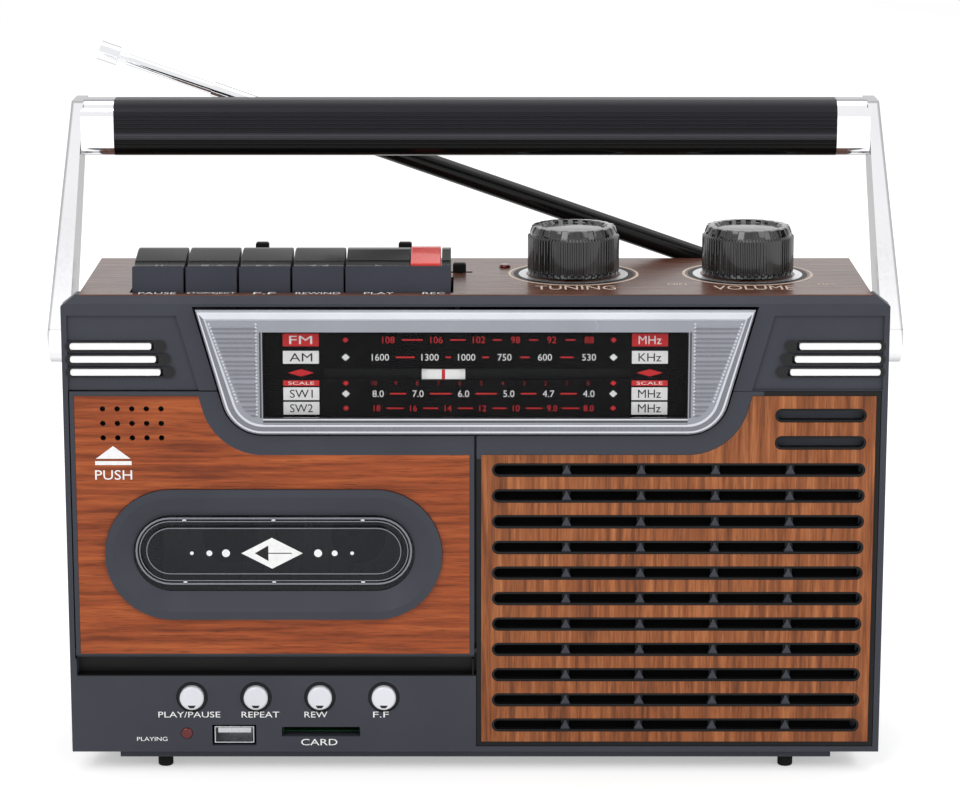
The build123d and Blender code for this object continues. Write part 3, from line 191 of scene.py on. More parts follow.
def masked(name, colour, patch, limits):
    """Moulded plastic in two colours: patch inside the box of limits, in millimetres."""
    s = Surface(moulded(name, colour))
    place = s.axes(s.place)
    mask = 1.0
    for axis, low, high in limits:
        inside = s.math("MULTIPLY", s.math("GREATER_THAN", place[axis], low * MM),
                        s.math("LESS_THAN", place[axis], high * MM))
        mask = s.math("MULTIPLY", mask, inside)
    s.set(s.shader, Base_Color=s.mix(mask, s.base_colour(), patch))
    return s.material


def key_plastic(name):
    """Blue-grey matt key fronts that turn glossy black where a face leans back."""
    s = Surface(moulded(name, srgb(58, 60, 69), 0.35, 1800, 0.012, 0.12))
    top = s.range(s.normal()["Z"], 0.0, 1.0, start=0.5, end=0.6)
    s.set(s.shader, Base_Color=s.mix(top, s.base_colour(), srgb(12, 12, 14)),
          Roughness=s.range(top, 0.36, 0.22))
    return s.material


def grip_plastic(name):
    """Black grip with light painted by height: painted shade on its lower part, a painted highlight band
    above it, greyer on its upper half, glossier below.
    """
    s = Surface(moulded(name, srgb(34, 34, 37), 0.33, 900, 0.02, 0.12))
    height = s.range(s.axes(s.place)["Z"], 0.0, 1.0, start=GRIP_LOW_Z * MM, end=GRIP_HIGH_Z * MM)
    # Painted shade up to 0.3, a painted highlight band at 0.37, then greyer towards the top
    shade = s.ramp(height, (0.0, srgb(8, 8, 8)), (0.3, srgb(12, 12, 11)), (0.37, srgb(72, 72, 78)),
                   (0.46, srgb(30, 30, 34)), (1.0, srgb(38, 38, 42)))
    s.set(s.shader, Base_Color=shade, Roughness=s.range(height, 0.16, 0.36, start=0.3, end=0.45))
    return s.material


def glossy(name, colour, roughness=0.12, coat=0.5, specular=0.5, tone=0.06):
    """Polished plastic with faint ripples and fine rubbing marks."""
    s = Surface.new(name, Specular_IOR_Level=specular, Coat_Weight=coat, Coat_Roughness=0.05)
    rub = s.noise(220, detail=5, roughness=0.7, stretch=(1, 1, 0.25))
    s.set(s.shader, Base_Color=s.clouded(s.noise(40), colour, 1 - tone, 1 + tone),
          Roughness=s.range(rub, roughness, roughness + 0.14, start=0.45, end=0.8))
    s.bump(s.noise(90, detail=2), 0.15, 0.02)
    return s.material


def wood(name, along, dark, middle, light, gloss=0.28, specular=0.4, fibre=1.0):
    """Printed wood veneer under lacquer: along is the grain's axis, 0, 1 or 2."""
    def grain(length, width):
        """Features per metre on each axis, for streaks of a length and width in millimetres."""
        stretch = [1 / width] * 3
        stretch[along] = 1 / length
        return tuple(value / MM for value in stretch)

    s = Surface.new(name, Specular_IOR_Level=specular, Coat_Weight=0.1, Coat_Roughness=0.12)
    bands = s.noise(1, detail=5, roughness=0.6, stretch=grain(38.0, 2.0), distortion=0.25)
    fibres = s.noise(1, detail=5, roughness=0.7, stretch=grain(22.0, 0.9 * fibre), distortion=0.2)
    pores = s.noise(1, detail=2, roughness=0.6, stretch=grain(9.0, 0.5 * fibre))
    base = s.ramp(bands, (0.32, dark), (0.5, middle), (0.7, light))
    base = s.mix(0.6, base, s.ramp(fibres, (0.35, shaded(dark, 0.75)), (0.65, light)), "SOFT_LIGHT")
    base = s.mix(s.range(pores, 0.0, 0.8, start=0.58, end=0.7), base, shaded(dark, 0.45))
    s.set(s.shader, Base_Color=base, Roughness=s.range(fibres, gloss, gloss + 0.16, start=0.3, end=0.7))
    s.bump(fibres, 0.2, 0.03)
    return s.material


def metal(name, colour, roughness, brushed=(1, 1, 1), streak=0.06, relief=0.004):
    """Bare or plated metal, with fine brushing along the axis where brushed is small."""
    s = Surface.new(name, Metallic=1.0)
    lines = s.noise(900, roughness=0.6, stretch=brushed)
    smoothest = max(roughness - streak / 2, 0.02)
    s.set(s.shader, Base_Color=s.clouded(s.noise(45, detail=4, roughness=0.6), colour, 0.94, 1.0),
          Roughness=s.range(lines, smoothest, roughness + streak, start=0.3, end=0.7))
    s.bump(lines, 0.2, relief)
    return s.material


def outlined_chrome(name, colour, edge, inner=None):
    """Chrome with a painted reflection of a dark room at its edges, and painted shade on its inner flanks if
    inner is a colour.
    """
    s = Surface(metal(name, colour, 0.07))
    facing = s.add("LayerWeight", Blend=0.5).outputs["Facing"]
    # Painted reflection: darker where the surface turns away from the camera
    base = s.mix(s.range(facing, 0.0, 1.0, start=0.45, end=0.85), s.base_colour(), edge)
    if inner:
        place = s.axes(s.place)
        flank = s.math("MULTIPLY", s.normal()["X"], s.math("SIGN", place["X"]))
        # Painted shade on the flanks that face inwards, which also lose their metal
        dark = s.range(flank, 0.0, 1.0, start=-0.25, end=-0.75)
        lean = s.math("MULTIPLY", s.math("SUBTRACT", place["Z"], ARM_TOP_Z * MM), ARM_LEAN)
        rim = s.math("SUBTRACT", s.math("ADD", s.math("ABSOLUTE", place["X"]), lean), ARM_TOP_X * MM)
        # Painted reflection lines along the arms' outer and upper edges
        side_reflection_line = s.range(rim, 0.0, 1.0, start=-1.0 * MM, end=-0.5 * MM)
        top_reflection_line = s.range(place["Z"], 0.0, 1.0, start=(ARM_TOP_Z - 0.9) * MM, end=(ARM_TOP_Z - 0.4) * MM)
        base = s.mix(s.math("MULTIPLY", s.math("MAXIMUM", side_reflection_line, top_reflection_line), 0.6), base, edge)
        base = s.mix(dark, base, inner)
        s.set(s.shader, Metallic=s.range(dark, 1.0, 0.0), Specular_IOR_Level=0.1)
    s.set(s.shader, Base_Color=base)
    return s.material


def clear(name, tint, see_through, specular):
    """Thin clear plastic: mostly see-through, with a full gloss and faint scratches."""
    s = Surface.new(name, Specular_IOR_Level=specular)
    haze = s.noise(120, detail=5, roughness=0.7, stretch=(1, 1, 0.2))
    s.set(s.shader, Base_Color=s.clouded(haze, tint, 0.92, 1.0),
          Roughness=s.range(haze, 0.03, 0.11, start=0.5, end=0.8),
          Alpha=s.range(haze, 1 - see_through, 1 - see_through + 0.02, start=0.4, end=0.7))
    return s.material


def paint(name, colour):
    """Screen-printed ink, a little uneven."""
    s = Surface.new(name, Roughness=0.5, Specular_IOR_Level=0.3)
    s.set(s.shader, Base_Color=s.clouded(s.noise(500), colour, 0.9, 1.0))
    return s.material


def board_green(name):
    """A printed circuit board with a grid of lighter tracks."""
    s = Surface.new(name, Specular_IOR_Level=0.4)
    tracks = s.add("TexBrick", {"offset": 0.5}, Vector=s.stretched(1, 1, 1), Scale=220.0, Mortar_Size=0.03,
                   Color1=srgb(30, 84, 48), Color2=srgb(24, 74, 42), Mortar=srgb(52, 120, 66))
    s.set(s.shader, Base_Color=tracks.outputs["Color"], Roughness=s.range(s.noise(300), 0.35, 0.5))
    s.bump(tracks.outputs["Fac"], 0.2, 0.03)
    return s.material


def cone_paper(name):
    """The black fibrous paper of a speaker cone."""
    s = Surface.new(name, Specular_IOR_Level=0.2)
    fibres = s.noise(700, detail=5, roughness=0.7)
    s.set(s.shader, Base_Color=s.ramp(fibres, (0.3, srgb(16, 16, 18)), (0.7, srgb(34, 34, 37))),
          Roughness=s.range(fibres, 0.8, 0.95))
    s.bump(fibres, 0.5, 0.06)
    return s.material


# Materials
CASE_COLOUR = srgb(58, 60, 68)
cabinet_grey = moulded("cabinet_grey", CASE_COLOUR, 0.4)
# Painted shade: black on the front cabinet's recessed faces under the cassette door
front_grey_gap_shade = masked("front_grey_gap_shade", CASE_COLOUR, srgb(7, 7, 7), DOOR_GAP_SHADE)
panel_two_tone = masked("panel_two_tone", srgb(14, 14, 16), CASE_COLOUR, PANEL_SHOULDER)
panel_black = moulded("panel_black", srgb(18, 18, 20), 0.45, specular=0.15)
deep_black = moulded("deep_black", srgb(6, 6, 7), 0.6, specular=0.05)
key_two_tone = key_plastic("key_two_tone")
knob_black = glossy("knob_black", srgb(20, 20, 22), 0.16, 0.5)
grip_black = grip_plastic("grip_black")
antenna_black = glossy("antenna_black", srgb(10, 10, 10), 0.25, 0.1, 0.2)
red_key = glossy("red_key", srgb(222, 60, 52), 0.2, 0.4)
red_led = glossy("red_led", srgb(92, 8, 10), 0.12, 0.4, 0.3)
white_gloss = glossy("white_gloss", srgb(222, 223, 230), 0.15, 0.4)
white_bar = moulded("white_bar", srgb(250, 250, 250), 0.4, specular=0.3, tone=0.02)
rubber_black = moulded("rubber_black", srgb(24, 24, 24), 0.8, 700, 0.05, 0.15)
door_wood = wood("door_wood", 0, srgb(120, 64, 30), srgb(160, 92, 50), srgb(186, 116, 68),
                 fibre=0.6, specular=0.2)
grille_wood = wood("grille_wood", 2, srgb(106, 66, 38), srgb(152, 100, 62), srgb(188, 134, 92),
                   fibre=0.5, specular=0.2)
deck_wood = wood("deck_wood", 0, srgb(84, 52, 38), srgb(112, 76, 60), srgb(138, 98, 80), gloss=0.22)
# Both chromes get painted dark reflections at their edges; the arms also get painted shade on their inner
# flanks
chrome = outlined_chrome("chrome", (0.86, 0.87, 0.89, 1.0), (0.12, 0.12, 0.13, 1.0))
arm_chrome = outlined_chrome("arm_chrome", (0.9, 0.9, 0.92, 1.0), (0.2, 0.2, 0.22, 1.0),
                             (0.035, 0.04, 0.045, 1.0))
steel = metal("steel", (0.55, 0.56, 0.58, 1.0), 0.3, (1, 1, 0.05), 0.15, 0.01)
silver_print = metal("silver_print", (0.78, 0.78, 0.8, 1.0), 0.35)
brass = metal("brass", (0.72, 0.54, 0.24, 1.0), 0.25, (1, 0.05, 1), 0.1)
lens_clear = clear("lens_clear", (0.02, 0.02, 0.022, 1.0), 0.93, 0.3)
window_clear = clear("window_clear", (0.014, 0.016, 0.020, 1.0), 0.3, 0.2)
lens_silver = glossy("lens_silver", srgb(140, 143, 152), 0.18, 0.6)
lens_bright = glossy("lens_bright", srgb(215, 219, 226), 0.12, 0.7)
lens_rib = glossy("lens_rib", srgb(112, 114, 122), 0.25, 0.4)
lens_dark = glossy("lens_dark", srgb(52, 54, 60), 0.2, 0.5)
grey_ink = paint("grey_ink", srgb(120, 122, 126))
beige_ink = paint("beige_ink", srgb(226, 206, 190))
# A black sheet behind the grille, painted shade inside the speaker
slot_shade_black = moulded("slot_shade_black", srgb(8, 8, 9), 0.9, 1800, 0.1, 0.05)
white_ink = paint("white_ink", srgb(246, 246, 246))
red_ink = paint("red_ink", srgb(214, 40, 44))
dark_red_ink = paint("dark_red_ink", srgb(150, 30, 34))
black_ink = paint("black_ink", srgb(20, 20, 22))
circuit_green = board_green("circuit_green")
cone_black = cone_paper("cone_black")

node_materials = {
    cabinet_grey: ("rear_cabinet", "rear_cabinet_top", "battery_bay", "base_plate", "door_frame",
                   "battery_door"),
    front_grey_gap_shade: ("front_cabinet",),
    panel_two_tone: ("grille_panel",),
    panel_black: ("dial_tray", "supply_reel", "takeup_reel", "rear_jacks", "band_switch_lever",
                  "function_switch_lever", "tone_switch_lever", "tuning_drum"),
    deep_black: ("dial_scale", "cassette_pocket"),
    door_wood: ("door_veneer",),
    grille_wood: ("grille_veneer",),
    deck_wood: ("top_deck",),
    rubber_black: ("feet", "drive_belt"),
    steel: ("screws_and_studs", "mechanism_chassis", "tape_motor", "usb_socket", "battery_contacts",
            "head_plate", "motor_pulley"),
    white_gloss: ("push_button_1", "push_button_2", "push_button_3", "push_button_4"),
    white_bar: ("louvre_strips", "dial_pointer"),
    lens_clear: ("dial_lens",),
    window_clear: ("door_window",),
    cone_black: ("speaker_cone", "speaker_driver"),
    circuit_green: ("main_board", "media_board"),
    red_led: ("indicator_leds",),
    key_two_tone: ("key_pause", "key_stop_eject", "key_fast_forward", "key_rewind", "key_play"),
    red_key: ("key_record",),
    brass: ("flywheel",),
    grip_black: ("handle_grip",),
    arm_chrome: ("handle_arm_left", "handle_arm_right"),
    chrome: ("antenna_base", "antenna_section_2", "antenna_section_3", "antenna_section_4"),
    antenna_black: ("antenna_section_1",),
}
for material, names in node_materials.items():
    for name in names:
        data = nodes[name].data
        data.materials.clear()
        data.materials.append(material)


# Softened edges
def soften(name, width):
    """Round a node's sharp edges by width millimetres."""
    piece = nodes[name]
    weld = piece.modifiers.new("weld", "WELD")
    weld.merge_threshold = 0.002 * MM
    bevel = piece.modifiers.new("bevel", "BEVEL")
    bevel.width, bevel.segments = width * MM, 2
    bevel.limit_method, bevel.angle_limit = "ANGLE", math.radians(40)
    bevel.use_clamp_overlap = False
    normals = piece.modifiers.new("normals", "WEIGHTED_NORMAL")
    normals.keep_sharp = False


for name, width in (("key_pause", 0.5), ("key_stop_eject", 0.5), ("key_fast_forward", 0.5),
                    ("key_rewind", 0.5), ("key_record", 0.4), ("usb_socket", 0.1)):
    soften(name, width)


# Flat outlines, as lists of points in millimetres
def loop_pairs(items):
    """Each item of a list with the next one, and the last with the first."""
    return list(zip(items, items[1:] + items[:1]))


def rectangle(x0, x1, z0, z1):
    """Anticlockwise, from the upper left."""
    return [(x0, z1), (x0, z0), (x1, z0), (x1, z1)]


def circle(u, v, radius, sides):
    turn = 2 * math.pi / sides
    return [(u + radius * math.cos(i * turn), v + radius * math.sin(i * turn)) for i in range(sides)]


def slot_outline(u, v, length, height, steps=16):
    """A slot with round ends, anticlockwise."""
    radius, half = height / 2, length / 2 - height / 2
    points = []
    for side, start in ((1, -90), (-1, 90)):
        for i in range(steps + 1):
            angle = math.radians(start + 180 * i / steps)
            points.append((u + side * half + radius * math.cos(angle), v + radius * math.sin(angle)))
    return points


def lens_outline(shrink=0.0, steps=10):
    """The dial lens from the front, clockwise from its upper left, with round lower corners."""
    top, low, radius = lens_high.x - 0.1 - shrink, 78.5 - shrink, 13.0 - shrink
    z1, z0 = lens_high.z - shrink, lens_low.z + shrink
    lean = math.atan2(top - low, z1 - z0)
    sweep = math.pi / 2 - lean
    reach = radius * math.tan(sweep / 2)
    points = [(-top, z1), (top, z1)]
    centre = (low - reach, z0 + radius)
    for i in range(steps + 1):
        angle = -lean - sweep * i / steps
        points.append((centre[0] + radius * math.cos(angle), centre[1] + radius * math.sin(angle)))
    points += [(-x, z) for x, z in reversed(points[2:])]
    return points


def clipped(points, axis, limit, sign):
    """The part of a convex outline where its coordinate times sign is below limit times sign."""
    result = []
    for a, b in loop_pairs(points):
        da, db = (a[axis] - limit) * sign, (b[axis] - limit) * sign
        if da <= 0:
            result.append(a)
        if (da < 0 < db) or (db < 0 < da):
            t = da / (da - db)
            result.append(tuple(a[k] + (b[k] - a[k]) * t for k in range(2)))
    return result


# Meshes
def bridge(bm, first, second):
    """Faces between two loops of as many corners."""
    return [bm.faces.new((a, b, d, c)) for (a, b), (c, d) in zip(loop_pairs(first), loop_pairs(second))]


def hang(name, mesh, body):
    """Put a mesh into the scene as a piece of its body."""
    piece = bpy.data.objects.new(name, mesh)
    bpy.context.scene.collection.objects.link(piece)
    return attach(piece, body)


def new_piece(name, bm, materials, body, smooth=None):
    """Finish a mesh built in metres in the row frame, and hang it on its body."""
    bmesh.ops.recalc_face_normals(bm, faces=bm.faces)
    mesh = bpy.data.meshes.new(name)
    bm.to_mesh(mesh)
    bm.free()
    for material in materials:
        mesh.materials.append(material)
    if smooth is not None:
        mesh.shade_smooth()
        mesh.set_sharp_from_angle(angle=math.radians(smooth))
    return hang(name, mesh, body)


def prism(bm, outline, y0, y1, material=0):
    """A solid with an outline of (x, z) points between two depths, in millimetres."""
    front = [bm.verts.new(Vector((x, y0, z)) * MM) for x, z in outline]
    back = [bm.verts.new(Vector((x, y1, z)) * MM) for x, z in outline]
    for face in [bm.faces.new(front), bm.faces.new(reversed(back))] + bridge(bm, back, front):
        face.material_index = material


def pyramid(bm, x, y, z, half, rise, material):
    """A small four-sided point that faces the front."""
    corners = ((-1, 0), (0, -1), (1, 0), (0, 1))
    base = [bm.verts.new(Vector((x + a * half, y, z + b * half)) * MM) for a, b in corners]
    tip = bm.verts.new(Vector((x, y - rise, z)) * MM)
    bm.faces.new(list(reversed(base))).material_index = material
    for a, b in loop_pairs(base):
        bm.faces.new((a, b, tip)).material_index = material


def lathe(bm, centre, rings, turns):
    """Rings of (radius, height, radius wave, waves a turn) around an upright axis, lowest first."""
    made = []
    for radius, z, wave, count in rings:
        ring = []
        for i in range(turns):
            angle = 2 * math.pi * i / turns
            r = radius + (wave if i * count * 2 // turns % 2 else 0.0)
            place = (centre.x + r * math.cos(angle), centre.y + r * math.sin(angle), z)
            ring.append(bm.verts.new(Vector(place) * MM))
        made.append(ring)
    for below, above in zip(made, made[1:]):
        bridge(bm, below, above)
    bm.faces.new(list(reversed(made[0])))
    bm.faces.new(made[-1])


class Print:
    """Marks printed on a flat surface, gathered into one thin mesh."""

    def __init__(self, origin, right, up):
        self.origin, self.right, self.up = Vector(origin), Vector(right), Vector(up)
        self.mesh = bmesh.new()

    def point(self, u, v, raised=INK):
        return (self.origin + self.right * u + self.up * v + self.right.cross(self.up) * raised) * MM

    def polygon(self, points):
        """A filled outline, wound anticlockwise."""
        top = [self.mesh.verts.new(self.point(u, v)) for u, v in points]
        low = [self.mesh.verts.new(self.point(u, v, INK_FOOT)) for u, v in points]
        self.mesh.faces.new(top)
        self.mesh.faces.new(reversed(low))
        bridge(self.mesh, low, top)

    def bar(self, u0, u1, v0, v1):
        self.polygon([(u0, v0), (u1, v0), (u1, v1), (u0, v1)])

    def disc(self, u, v, radius):
        self.polygon(circle(u, v, radius, 24))

    def diamond(self, u, v, half_u, half_v):
        self.polygon([(u - half_u, v), (u, v - half_v), (u + half_u, v), (u, v + half_v)])

    def band(self, outer, inner):
        """The strip between two outlines of as many points."""
        for (a, b), (c, d) in zip(loop_pairs(outer), loop_pairs(inner)):
            self.polygon([a, b, d, c])

    def ring(self, u, v, radius, width):
        """A round line."""
        self.band(circle(u, v, radius + width / 2, 96), circle(u, v, radius - width / 2, 96))

    def text(self, words, u, v, height, width=None):
        """Letters centred on a point, scaled to a height and, if given, a width."""
        curve = bpy.data.curves.new("letters", "FONT")
        curve.body, curve.align_x, curve.align_y = words, "CENTER", "CENTER"
        curve.resolution_u = 3
        holder = bpy.data.objects.new("letters", curve)
        bpy.context.scene.collection.objects.link(holder)
        bpy.context.view_layer.update()
        flat = bpy.data.meshes.new_from_object(holder.evaluated_get(bpy.context.evaluated_depsgraph_get()))
        bpy.data.objects.remove(holder)
        xs, ys = [p.co.x for p in flat.vertices], [p.co.y for p in flat.vertices]
        scale_v = height / (max(ys) - min(ys))
        scale_u = width / (max(xs) - min(xs)) if width else scale_v
        mid_u, mid_v = (max(xs) + min(xs)) / 2, (max(ys) + min(ys)) / 2
        start = len(self.mesh.verts)
        self.mesh.from_mesh(flat)
        self.mesh.verts.ensure_lookup_table()
        for vertex in self.mesh.verts[start:]:
            vertex.co = self.point(u + (vertex.co.x - mid_u) * scale_u, v + (vertex.co.y - mid_v) * scale_v)
        bpy.data.meshes.remove(flat)

    def make(self, name, material, body, slot):
        mesh = bpy.data.meshes.new(name)
        self.mesh.to_mesh(mesh)
        self.mesh.free()
        mesh.materials.append(material)
        return hang(name, mesh, body)


def front_print(y):
    return Print((0, y, 0), (1, 0, 0), (0, 0, 1))


def deck_print(z):
    return Print((0, 0, z), (1, 0, 0), (0, 1, 0))


# Dial lens
SILVER, BRIGHT, RIB, DARK = range(4)
lens_materials = (lens_silver, lens_bright, lens_rib, lens_dark)
LENS_BACK_Y = -38.2
LENS_RIM = 3.3  # the rim's width round the sunk field
face_y, field_y = lens_low.y + 0.02, lens_low.y + 0.75
opening_left, opening_right = scale_low.x - 0.2, scale_high.x + 0.2
opening_low, opening_high = scale_low.z + 0.4, scale_high.z + 0.1
WING_RIB_HEIGHT, WING_RIB_STEPS = 0.62, (1.25, 1.6, 1.3, 1.9, 1.4)
POINT_PITCH, POINT_HALF, POINT_RISE = 1.1, 0.5, 0.5


def lens_rim(bm):
    """The bright rim. Its flat face is grey but for a painted highlight along the upper edge."""
    flat, highlight_low_z = 3, (lens_high.z - 3.5) * MM
    profile = ((0.0, LENS_BACK_Y, SILVER), (0.0, -39.3, SILVER), (0.6, face_y + 0.2, SILVER),
               (1.2, face_y, BRIGHT), (2.7, face_y + 0.1, BRIGHT), (LENS_RIM, field_y, BRIGHT),
               (LENS_RIM, LENS_BACK_Y, SILVER))
    rings = [[bm.verts.new(Vector((x, y, z)) * MM) for x, z in lens_outline(shrink)]
             for shrink, y, _ in profile]
    for k, (outer, inner) in enumerate(zip(rings, rings[1:])):
        for face in bridge(bm, outer, inner):
            # Painted highlight: the flat face turns bright near its top edge
            top = min(v.co.z for v in face.verts) > highlight_low_z
            face.material_index = profile[k + 1][2] if top or k != flat else RIB


def lens_field(bm):
    """The sunk field round the opening over the scale, with two lines under it."""
    inner, back = lens_outline(LENS_RIM), field_y + 1.2
    for sign, limit in ((1, opening_left), (-1, opening_right)):
        prism(bm, clipped(inner, 0, limit, sign), field_y, back, SILVER)
    middle = clipped(clipped(inner, 0, opening_left, -1), 0, opening_right, 1)
    prism(bm, clipped(middle, 1, opening_high, -1), field_y, back, SILVER)
    prism(bm, clipped(middle, 1, opening_low, 1), field_y, back, DARK)
    for z, material in ((opening_low - 0.35, BRIGHT), (lens_low.z + 3.9, SILVER)):
        line = rectangle(opening_left, opening_right, z - 0.4, z)
        prism(bm, line, field_y - 0.15, field_y + 0.1, material)


def lens_wings(bm):
    """Unevenly spaced flat ribs across the field on both sides of the opening."""
    for sign, limit in ((1, opening_left - 1.9), (-1, opening_right + 1.9)):
        wing = clipped(lens_outline(4.9), 0, limit, sign)
        z, step = lens_low.z + 4.6, 0
        while z < lens_high.z - 5.5:
            strip = clipped(clipped(wing, 1, z, -1), 1, z + WING_RIB_HEIGHT, 1)
            if len(strip) > 2:
                prism(bm, strip, field_y - 0.22, field_y + 0.05, RIB)
            z += WING_RIB_STEPS[step % len(WING_RIB_STEPS)]
            step += 1


def lens_points(bm):
    """A dark upright line beside the opening, and rows of small points beside it and the rim."""
    upper, lower = lens_outline(4.2)[1:3]
    for sign, edge in ((-1, opening_left - 0.7), (1, opening_right + 0.7)):
        line = rectangle(edge - 0.3, edge + 0.3, opening_low, opening_high)
        prism(bm, line, field_y - 0.12, field_y + 0.1, DARK)
        for i in range(int((lens_high.z - lens_low.z - 9) / POINT_PITCH)):
            z = lens_high.z - 4.6 - i * POINT_PITCH
            pyramid(bm, edge + sign * 1.3, field_y, z, POINT_HALF, POINT_RISE, BRIGHT)
            t = (z - lower[1]) / (upper[1] - lower[1])
            if t > 0.02:
                x = sign * (lower[0] + (upper[0] - lower[0]) * t)
                pyramid(bm, x, field_y, z, POINT_HALF, POINT_RISE, BRIGHT)


def dial_lens():
    """A clear pane over the scale in a silvered frame with ribbed wings and rows of small points."""
    bm = bmesh.new()
    for part in (lens_rim, lens_field, lens_wings, lens_points):
        part(bm)
    frame_piece = new_piece("lens_frame", bm, lens_materials, "cabinet")
    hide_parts("dial_lens")
    bm = bmesh.new()
    opening = rectangle(opening_left, opening_right, opening_low, opening_high)
    prism(bm, opening, field_y + 0.2, field_y + 1.4)
    pane = new_piece("lens_pane", bm, (lens_clear,), "cabinet")
    bevel = pane.modifiers.new("bevel", "BEVEL")
    bevel.width = 0.2 * MM


# Knobs
def knob(name, body):
    """A ribbed knob with a toothed foot and a scalloped rim round its sunk top."""
    low, high = box_mm(name)
    centre, top, base, r = (low + high) / 2, high.z, deck_z + 0.8, KNOB_RADIUS
    foot = ((3.0, deck_z - 2, 0, 0), (3.0, base, 0, 0), (r - 1.0, base, 0, 0), (r - 0.7, base, 0.5, 40),
            (r - 0.5, base + 1.3, 0.45, 40))
    side = ((r - 0.3, base + 1.5, 0.25, 80), (r - 0.3, top - 3.4, 0.25, 80), (r - 0.9, top - 2.7, 0, 0))
    rim = ((r - 1.1, top - 1.9, 0.25, 20), (r - 2.0, top - 0.2, 0.5, 20), (r - 2.6, top, 0.3, 20),
           (r - 3.8, top, -0.5, 20), (r - 4.4, top - 0.5, -0.4, 20))
    dish = ((r - 5.0, top - 1.0, 0, 0), (r - 6.5, top - 0.7, 0, 0), (1.0, top - 0.55, 0, 0))
    bm = bmesh.new()
    lathe(bm, centre, foot + side + rim + dish, 480)
    piece = new_piece(name + "_ribbed", bm, (knob_black,), body, 28)
    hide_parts(name)
    mark = deck_print(top - 0.66)
    mark.disc(centre.x, centre.y - r + 6.2, 0.55)
    mark.make(name + "_mark", black_ink, body, "key_plastic")


# Grille
GRILLE_ROWS_Z = [16.2 + 8.64 * row for row in range(11)]
GRILLE_RIBS_X = (29.6, 53.8, 77.9, 102.1)
GRILLE_SLOT_X, GRILLE_SLOT_LENGTH, GRILLE_SLOT_HEIGHT = 65.85, 120.9, 4.5
GRILLE_RIM = 0.6  # added to a slot's length and height by its rim
RIB_FOOT = ((-1.9, -2.2), (1.9, -2.2), (0.45, 0.6), (0.3, 2.2), (-0.3, 2.2), (-0.45, 0.6))
# A black sheet behind the grille slots, painted shade inside the speaker
SLOT_SHADE_SHEET, SLOT_SHADE_FRONT_Y, SLOT_SHADE_BACK_Y = rectangle(4.6, 123.8, 13.2, 105.6), -34.2, -33.9


def grille_detail():
    """Splayed feet on the ribs between the slots, a black sheet behind them as painted shade, and the slots'
    dark rims.
    """
    bm = bmesh.new()
    for z in GRILLE_ROWS_Z:
        for x in GRILLE_RIBS_X:
            prism(bm, [(x + u, z + v) for u, v in RIB_FOOT], front_y + 0.65, front_y + 2.6)
    new_piece("grille_rib_feet", bm, (cabinet_grey,), "cabinet")
    bm = bmesh.new()
    prism(bm, SLOT_SHADE_SHEET, SLOT_SHADE_FRONT_Y, SLOT_SHADE_BACK_Y)
    new_piece("slot_shade_sheet", bm, (slot_shade_black,), "cabinet")
    rims = front_print(front_y + 0.2)
    for z in GRILLE_ROWS_Z:
        rims.band(*(slot_outline(GRILLE_SLOT_X, z, GRILLE_SLOT_LENGTH + more, GRILLE_SLOT_HEIGHT + more)
                    for more in (GRILLE_RIM, 0)))
    rims.make("grille_slot_rims", lens_dark, "cabinet", "black_plastic")


# Front marks
def louvre_slots():
    """The dark slots that the white louvre bars lie in."""
    def slot(side, inner, outer, z, height):
        return slot_outline(side * (outer + inner) / 2, z, outer - inner, height)

    slots = front_print(front_y)
    for z, inner in ((143.4, 102.9), (139.15, 101.5), (134.9, 100.2)):
        for side in (-1, 1):
            slots.band(slot(side, inner - 3.4, 131.9, z, 3.5), slot(side, inner - 0.3, 130.7, z, 2.5))
    slots.make("louvre_slots", black_ink, "cabinet", "cabinet_plastic")


def door_marks():
    """The sign and the word over the place to push the door."""
    marks, x = front_print(front_y), -117.2
    marks.polygon([(x - 5.6, 106.4), (x + 5.6, 106.4), (x, 110.6)])
    marks.bar(x - 5.9, x + 5.9, 104.3, 105.6)
    marks.text("PUSH", x, 101.0, 3.2, 12.0)
    marks.make("door_marks", white_ink, "door", "cabinet_plastic")


def window_marks():
    """The bright rims, diamond, arrow and dots on the cassette window."""
    rims, spots = front_print(window_low.y), front_print(window_low.y)
    length, height, middle = window_high.x - window_low.x - 1.0, 22.8, window_z + 1.0
    for inset, width in ((0.1, 0.6), (1.3, 0.3), (3.6, 0.3)):
        rims.band(*(slot_outline(window_x, middle, length - 2 * cut, height - 2 * cut)
                    for cut in (inset, inset + width)))
    for x in (-29.0, 0.0, 29.0):
        for side in (-1, 1):
            spots.disc(window_x + x, middle + side * (height / 2 - 1.0), 0.6)
    rims.make("window_rims", lens_rib, "door", "clear_plastic")
    spots.make("window_spots", lens_bright, "door", "clear_plastic")

    white, black = front_print(window_low.y), front_print(window_low.y - INK)
    x, z = window_x - 0.6, window_z + 0.3
    white.diamond(x, z, 10.0, 5.2)
    for step, radius in ((15.0, 1.3), (20.4, 0.95), (26.1, 0.6)):
        for side in (-1, 1):
            white.disc(x + side * step, z, radius)
    black.bar(x - 1.4, x + 6.4, z - 0.15, z + 0.15)
    black.polygon([(x - 5.6, z), (x - 1.2, z - 2.6), (x - 1.2, z + 2.6)])
    white.make("window_diamond", white_ink, "door", "clear_plastic")
    black.make("window_arrow", black_ink, "door", "clear_plastic")


